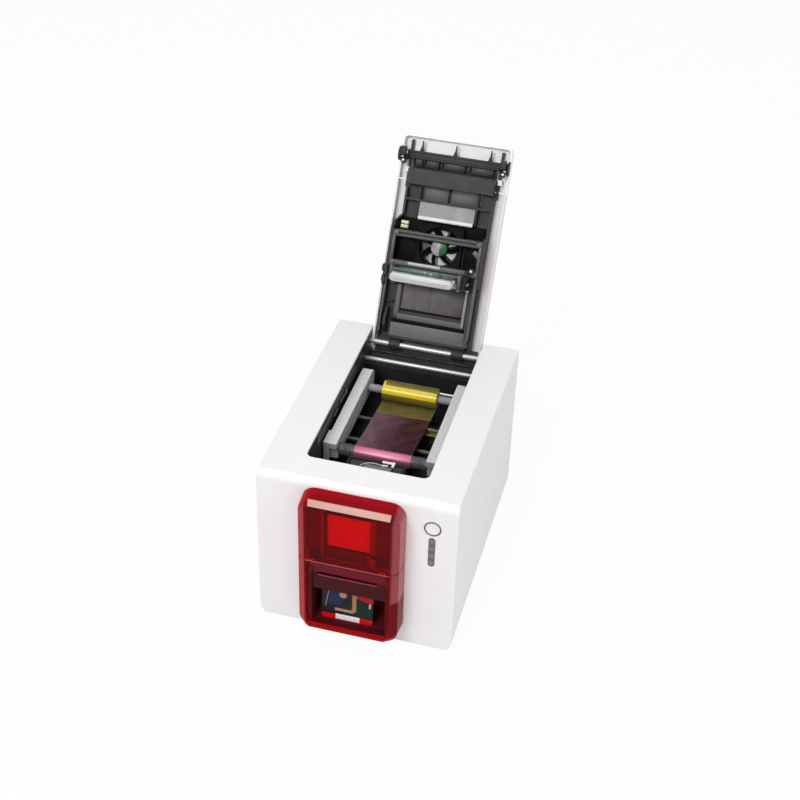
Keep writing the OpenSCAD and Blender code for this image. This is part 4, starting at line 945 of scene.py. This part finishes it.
# Air duct: a near-black floor behind the openings as painted shade, panels with seams, and a plate bent down in a
# quarter circle at its end
duct = {"top": 159.5, "fall": 15, "half": 31, "flat": 0.75, "lip": 1.6}
floors = boxes((-56, -25, 93, 119, 7.0, 7.9, 0.2), (25, 46, 93, 119, 7.0, 7.9, 0.2),
               (-54, 46, 127, 141, 7.0, 7.9, 0.2))
lidPiece("ductShade", floors, "shadeBlack")
lidPiece("ductFloor", boxes((-26, 26, 91.5, 141.5, 8.6, 10.4, 0.2)), "shadeBlack")
lidPiece("ductPanels", boxes((-34.4, -1.9, 161.4, 177.6, 7.4, 8.6, 0.1), (0.3, 30.6, 161.4, 175.6, 7.4, 8.6, 0.1)),
         "panelGrey")
lidPiece("ductSeams", boxes((-2.5, 0.8, 161, 178, 7.0, 8.4, 0.2), (30.2, 32, 161, 178, 7.0, 8.4, 0.2),
                            (-35.4, 32, 160.4, 162.2, 6.8, 8.4, 0.2)), "nearBlack")
u = np.linspace(0, 1, 22)
q, flat = (u - duct["flat"]) / (1 - duct["flat"]) * math.pi / 2, u / duct["flat"]
slant = np.stack([duct["top"] - duct["fall"] * flat, 0.2 - 0.9 * flat], -1)
lip = np.stack([duct["top"] - duct["fall"] - duct["lip"] * np.sin(q), -0.7 - duct["lip"] * (1 - np.cos(q))], -1)
fold = np.where(u[:, None] < duct["flat"], slant, lip)
x = np.linspace(-duct["half"], duct["half"], 15)
skin = np.stack([x + 0 * fold[:, :1], fold[:, :1] + 0 * x, fold[:, 1:] + 0.15 * np.cos(x / duct["half"] * 3)], -1)
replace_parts(lidPiece("deflector", sheet(skin, skin + (0, 0.05, 0.7)), "foil", slotName="steel"), "deflector_plate")
# A white bar along the plate's bent edge: its white is a painted highlight
lidPiece("deflectorLip", bar("x", (0, 142.2, -1.6), (-30.6, 30.6), 2.2, 0.6), "lip", slotName="steel")
lidPiece("ductSides", [roundBox((sx * 32.5 - 1, sx * 32.5 + 1), (142, 176), (-1.2, 7.9), 0.5) for sx in (-1, 1)]
         + boxes((-46, 46, 177.6, 179.4, -2, 6, 0.5)), "black")
lidPiece("ductBrow", roundBox((-48, 46.4), (183.6, 193), (-2.6, -1.2), 0.5), "smoke")

# Fan: blades, a rounded hub, and a two-coloured disc on it
fan = {"x": -2, "s": 112.6, "hub": 9.0, "tip": 21.2, "blades": 7, "disc": 9, "phase": 10.38, "bright": (10.4, 19)}


# Blade k of the fan, lofted from hub to tip: its angle spans 0.36 each way at the hub and a little less at the tip,
# its height rises with the angle, and it is thickest along its middle
def blade(k):
    u, v = np.linspace(0, 1, 7)[:, None], np.linspace(-1, 1, 9)[None, :]
    r = fan["hub"] - 0.6 + (fan["tip"] - fan["hub"] + 0.6) * u
    a = (k + 0.35) * 2 * math.pi / fan["blades"] + v * (0.36 - 0.02 * u) + 0.2 * u
    h = 2.1 + v * (3.4 - 0.4 * u) + 0.7 * (1 - v * v)
    thick = 0.55 * (1 - 0.6 * v * v)
    top = np.stack([fan["x"] + r * np.cos(a), fan["s"] + r * np.sin(a), h - thick + 0 * r], -1)
    under = np.stack([fan["x"] + r * np.cos(a), fan["s"] + r * np.sin(a), h + thick + 0 * r], -1)
    return sheet(top, under)


# Blades: black, with painted highlights along their leading halves and black where they turn away, the highlights
# dimmed on the fan's left as painted shade; drawn in the fan's own plane
def bladeFinish():
    f = Finish("fanBlades", rgb(150, 152, 154), 0.18)
    x, s, h = f.lidAxes()
    a, b = x - fan["x"], s - fan["s"]
    turn = b.math("ARCTAN2", a) * (fan["blades"] / (2 * math.pi)) + fan["phase"]
    far = (a * a + b * b).math("SQRT")
    part = ((turn - far * 0.024).math("FRACT") - 0.5).math("ABSOLUTE")
    wide = (far - fan["hub"]) * 0.019
    # Painted highlights: bright along each blade's leading half, between the hub and the tip
    lit = (1 - (part - wide).above(0.07, 0.06)) * far.between(*fan["bright"], 0.8)
    # Painted shade: the highlights dimmed on the fan's left
    bright = lit * (1 - (a * -1).above(11, 5) * 0.75)
    shade = f.mixed(rgb(26, 26, 28), rgb(206, 208, 210), bright * (f.noise(260, 2) * 0.9 + 0.45))
    return f.done(shade, f.noise(300) * 0.1 + 0.16)


hubProfile = [(5.6, 0.01), (5.6, 8.4), (5.2, 9), (-0.2, 9), (-1, 8.8), (-1.4, 8.6), (-1.45, 0.01)]
fanAt = (fan["x"], fan["s"], 0)
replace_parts(lidPiece("fanRotor", [blade(k) for k in range(fan["blades"])] + [lathe("z", fanAt, hubProfile, 48)],
                     bladeFinish(), "fan"), "fan_rotor")


# Two-coloured disc: silver on one side of its middle, green on the other
def hubDisc():
    f = Finish("hubDisc", rgb(190, 192, 194), 0.25)
    x, y, z = f.axes()
    edge = (x - fan["x"] + (f.noise(300) - 0.5) * 0.6).above(0.6, 0.3)
    return f.done(f.mixed(f.mixed(rgb(112, 113, 114), rgb(186, 187, 188), f.noise(120, 2)), rgb(10, 88, 52), edge),
                  f.noise(400) * 0.12 + 0.24)


disc = [(-1.9, 0.01), (-1.9, fan["disc"] - 0.3), (-1.75, fan["disc"] - 0.05), (-1.5, fan["disc"]), (-1.4, 0.01)]
lidPiece("fanDisc", lathe("z", fanAt, disc, 40), hubDisc(), "fan", "steel")
wires = [[(-26, 108, 2), (-35, 114, 1), (-42, 122, 3), (-45, 128, 4)],
         [(-26, 106, 3), (-36, 111, 2.4), (-43, 120, 4), (-46, 130, 5)]]
lidPiece("fanWires", [tube(curveThrough(w), 0.55, 8) for w in wires], "blackSmooth")

# Carrier of the print head, with its gears, its pins and a diagonal arm
carrier = {"upper": (118.6, 126.4), "lower": (86, 93.4), "left": -54.6, "right": 46.4}


# Bars across, links between them at both ends, and two arms down to the head
def carrierBars():
    up, low, x0, x1 = carrier["upper"], carrier["lower"], carrier["left"], carrier["right"]
    shapes = boxes((x0, x1, up[0], up[0] + 3.6, -8, -3.2, 1.6, 3),
                   (x0, x1 - 6, up[1] - 3.4, up[1], -8.6, -3.2, 1.5, 3), (x0, x1 - 4, *up, -5.6, -3.2, 1, 2),
                   (x0, x1, *low, -8, -3, 1.5, 3), (x0 + 3, x1 - 3, low[0] + 1.4, low[0] + 3.8, -8.8, -5, 0.9),
                   (-47, 32, 69.5, low[0] + 0.4, -8, -6, 0.6))
    for x, way in ((x0, 1), (x1, -1)):
        inner = sorted((x, x + way * 4))
        shapes.append(roundBox(inner, (low[0], up[1]), (-8, -3), 1))
        shapes.append(bar("z", (x + way * 4.2, low[0] + 3.6, 0), (-8.8, -6), 3.4, 0.4, 28))
        shapes.append(bar("z", (x + way * 4.2, up[0] + 3.6, 0), (-8.8, -6), 3, 0.4, 28))
    return shapes + boxes((-47, -43.5, 72, 88, -31, -7.9, 0.8), (28.5, 32, 72, 88, -31, -7.9, 0.8))


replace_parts(lidPiece("headCarrier", carrierBars(), "carrier"), "head_carrier")
gear = {"big": (0, 78, -16), "small": (0, 88.6, -13), "post": (38.6, 93, 0)}
gears = [moved(slab(toothed(18, 6.4, 7.3), 32.2, 35.6, 0.2, "x"), gear["big"]),
         bar("x", gear["big"], (31, 37.6), 2.4, 0.4, 24),
         moved(slab(toothed(12, 3.9, 4.8), 32.4, 36, 0.2, "x"), gear["small"]),
         bar("x", gear["small"], (31.5, 38), 1.6, 0.3, 20),
         turned(roundBox((33, 36.4), (74, 96), (-9.6, -6.4), 1.2, 3), (0, 0, 1), -14, (34, 84, -8)),
         bar("z", gear["post"], (-11, -5), 3.6, 0.6)]
lidPiece("headGears", gears, "black")
glints = [bar("x", gear["big"], (37.2, 38.4), 1.3, 0.3, 16), bar("z", (30.6, 84.4, 0), (-9.6, -7), 1.4, 0.3, 16),
          roundBox((26.2, 28.2), (69, 75), (-9.4, -8), 0.4), bar("z", gear["post"], (-11.8, -10.6), 1.5, 0.3, 16),
          roundBox((35, 39.4), (70.4, 72), (-8.6, -7.4), 0.4), bar("z", (37.4, 79, 0), (-9.8, -8), 1.1, 0.3, 14)]
lidPiece("headPins", glints, "steel", slotName="steel")
lidPiece("headStrip", boxes((-32.4, 3.8, 89.6, 92.6, -9.9, -8.6, 0.5)), "paleGrey", slotName="steel")
ear = {"x": (-61.2, -56.2), "upper": (78, 87), "lower": (67, 74.6)}
ears = boxes((*ear["x"], *ear["upper"], -7.6, -1.4, 2.2, 3),
             (ear["x"][0] + 0.8, ear["x"][1], *ear["lower"], -7.2, -1.4, 1.6, 3),
             (-59.4, -56.6, 67, 87, -5.6, -1.8, 0.8))
lidPiece("sideEars", ears, "black")

spring = {"x": (-30, 15), "s": 76, "h": (-11.6, -8.6), "r": 3.6, "wire": 0.3, "turns": 7.5}
headX = (-43, 26.6)


# Print head: a bar whose ends are half circles, a raised ceramic strip and the fine heater line along it
def printHead():
    shapes = [slab(roundRect(headX, (71.2, 80.8), 4.6, 8), -45, -35.2, 1.1),
              slab(roundRect((-40, 25), (73.4, 77.6), 1.2, 3), -45.5, -44, 0.4)]
    shapes += boxes((*headX, 77.8, 81.8, -35.4, -12, 0.7), (*headX, 72, 80, -16, -12, 0.7))
    return shapes + [bar("z", (x, spring["s"], 0), (-12.4, -10.1), 2.5, 0.3, 24) for x in spring["x"]]


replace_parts(lidPiece("printHead", printHead(), "headMetal", "head", "steel"), "print_head")
lidPiece("heaterLine", boxes((-38, 23, 75.2, 75.7, -45.6, -45.1, 0.12)), "midGrey", "head")
a = np.linspace(0, spring["turns"] * 2 * math.pi, 150)
coil = np.stack([spring["r"] * np.cos(a), spring["s"] + spring["r"] * np.sin(a), np.linspace(*spring["h"], 150)], -1)
springs = [tube(coil + (x, 0, 0), spring["wire"], 8) for x in spring["x"]]
headSprings = lidPiece("headSprings", springs, "chrome", "lid", "chrome")
tuple(lid(np.array([[0, spring["s"], -8.3]]))[0])
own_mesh(headSprings)
parts = [roundBox((-43.4, 26), (81.9, 83.5), (-38, -11), 0.2),
         slab([(-43.4, 82), (26, 82), (26, 83.6), (-43.4, 86)], -38, -34, 0.3, "z", 2),
         roundBox((-30, 10), (83.4, 86), (-34, -28), 0.4)]
parts += [roundBox((x, x + 2.2), (83.4, 84.6), (-26, -23), 0.2) for x in range(-38, 22, 6)]
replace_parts(lidPiece("headBoard", parts, "headGreen", "head", "board"), "head_board")

# Twin connectors: cream housings with rows of small cream blocks at their openings
socket = {"x": (-49, -41), "s": (128.5, 133), "pins": 4, "pitch": 1.9}
connectors = []
for s in socket["s"]:
    connectors.append(roundBox(socket["x"], (s, s + 3.6), (1.5, 7.8), 0.4))
    for k in range(socket["pins"]):
        x = socket["x"][0] + 0.6 + socket["pitch"] * k
        connectors.append(roundBox((x, x + 1), (s + 0.8, s + 2.8), (0.9, 2), 0.15))
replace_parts(lidPiece("lidSockets", connectors, "cream", slotName="cream_plastic"), "lid_connectors")

# Window: a rim of three lighter bars round a smoky panel with faint upright marks
rim = {"left": (-42, -36.4), "right": (34.6, 38), "foot": (28.6, 35.4), "top": 71}
lidPiece("windowRim", boxes((*rim["left"], rim["foot"][0], 68, -0.8, 2.2, 1, 3),
                            (rim["left"][0], rim["right"][1], *rim["foot"], -0.8, 2.2, 1, 3)), "panelGrey",
         slotName="grey_plastic")
lidPiece("windowRimRight", roundBox(rim["right"], (rim["foot"][0] + 1, rim["top"]), (-1.4, 1.8), 1, 3), "midGrey",
         slotName="grey_plastic")
lidPiece("windowGap", boxes((-36.6, 34.8, 35.2, 40.6, 1.4, 3.4, 0.3), (-43.5, 40, 25.4, 28.8, -0.4, 2, 0.5)), "shadeBlack")


# Grey panel: lighter to the left, with darker upright marks
def smokedPanel():
    f = Finish("smokedPanel", rgb(92, 80, 86), 0.3, Specular_IOR_Level=0.3)
    x, y, z = f.axes()
    marks = f.noise(110, 2, 0.5, f.mapped((1, 0.08, 0.08))).above(0.6, 0.2)
    lean = (f.noise(34, 3) * 1.1 - x * 0.007 - 0.05).clamped()
    shade = f.mixed(f.mixed(rgb(66, 63, 65), rgb(122, 115, 117), lean), rgb(74, 70, 72), marks * 0.7)
    return f.done(shade, f.noise(90, 2) * 0.2 + 0.24, f.noise(400, 2), 0.00002)


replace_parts(lidPiece("windowPanel", roundBox((-35.9, 35.9), (38.6, 69.9), (3.5, 4.98), 0.3), smokedPanel()),
            "lid_window")
lidPiece("lowerPanel", boxes((-44, 46.4, 9, 24.6, 1.2, 7.9, 0.8, 3)), "lowerGrey")
lidPiece("hingeTrim", boxes((-57.6, 57.6, -10.4, 6.8, 6.1, 7.3, 0.4), (-44, 44, 6.2, 9.4, -1.4, 7.9, 0.6)), "black")

# Ribs and a slanting arm down the right-hand side
arm = [(38.6, 116.5), (46.6, 112), (46.6, 20), (44.2, 12), (41.6, 12), (42.8, 22), (42.8, 106), (35.4, 112.6)]
lidPiece("sideArm", [slab(arm[::-1], -6.2, -2.8, 0.8), roundBox((40.4, 42), (14, 70), (-3, 7.9), 0.6),
                     roundBox((-56.6, -54), (12, 86), (-4, 2), 0.7)], "darkGrey")
lidPiece("sideRibs", [roundBox((42, 46.6), (s, s + 2), (-2.6, 7.9), 0.5) for s in (34, 47, 60)]
         + [roundBox((-53.6, -44), (s, s + 2), (3, 7.9), 0.5) for s in (46, 66)], "black")
print("lid")

stand = {"size": 6.0, "floor": 0.86, "seen": 0.94}


# A white floor that is lit on its own, but seems nearly white to the camera and in mirrors
def studio():
    f = Finish("paper", (stand["floor"],) * 3 + (1,), 0.8)
    path = f.tree.nodes.new("ShaderNodeLightPath")
    seen = (Signal(f, path.outputs["Is Camera Ray"]) + Signal(f, path.outputs["Is Glossy Ray"])).math("MINIMUM", 1)
    glow = f.node("ShaderNodeEmission", None, {"Color": (1, 1, 1, 1), "Strength": 1.0})
    mix = f.node("ShaderNodeMixShader", None, {0: seen * stand["seen"], 1: Signal(f, f.shader.outputs[0]), 2: glow})
    f.tree.links.new(mix.socket, f.output.inputs[0])
    half = stand["size"]
    mesh = bpy.data.meshes.new("floor")
    mesh.from_pydata([(-half, -half, 0), (half, -half, 0), (half, half, 0), (-half, half, 0)], [], [(0, 1, 2, 3)])
    mesh.materials.append(f.material)
    floor = bpy.data.objects.new("floor", mesh)
    scene.collection.objects.link(floor)


# An even sky: soft light on the object, paler in mirrors, and white where it is seen
def sky(strength, mirrored):
    world = bpy.data.worlds.new("studio")
    scene.world = world
    world.use_nodes = True
    tree = world.node_tree
    back = tree.nodes["Background"]
    path = tree.nodes.new("ShaderNodeLightPath")
    level = strength
    for ray, most in [("Is Glossy Ray", mirrored), ("Is Transmission Ray", 1.0), ("Is Camera Ray", 1.0)]:
        step = tree.nodes.new("ShaderNodeMix")
        tree.links.new(path.outputs[ray], step.inputs[0])
        step.inputs[3].default_value = most
        if isinstance(level, float):
            step.inputs[2].default_value = level
        else:
            tree.links.new(level, step.inputs[2])
        level = step.outputs[0]
    tree.links.new(level, back.inputs["Strength"])
    back.inputs["Color"].default_value = (1, 1, 1, 1)


# A rectangular lamp at a place, aimed at a point
def softbox(name, place, aim, size, power):
    data = bpy.data.lights.new(name, "AREA")
    data.shape, data.size, data.size_y, data.energy = "RECTANGLE", size[0], size[1], power
    obj = bpy.data.objects.new(name, data)
    obj.location = place
    obj.rotation_euler = (Vector(aim) - Vector(place)).to_track_quat("-Z", "Y").to_euler()
    scene.collection.objects.link(obj)


lamps = {"key": ((-0.45, -1.48, 1.72), (0, -0.1, 0.15), (0.9, 0.6), 20.2),
         "top": ((-0.3, 0.1, 2.2), (0, 0, 0.1), (0.8, 0.8), 6.0),
         "side": ((2.0, -0.4, 1.0), (0, 0, 0.15), (1.2, 1.2), 10)}
studio()
sky(0.52, 0.7)
for name, (place, aim, size, power) in lamps.items():
    softbox(name, place, aim, size, power)
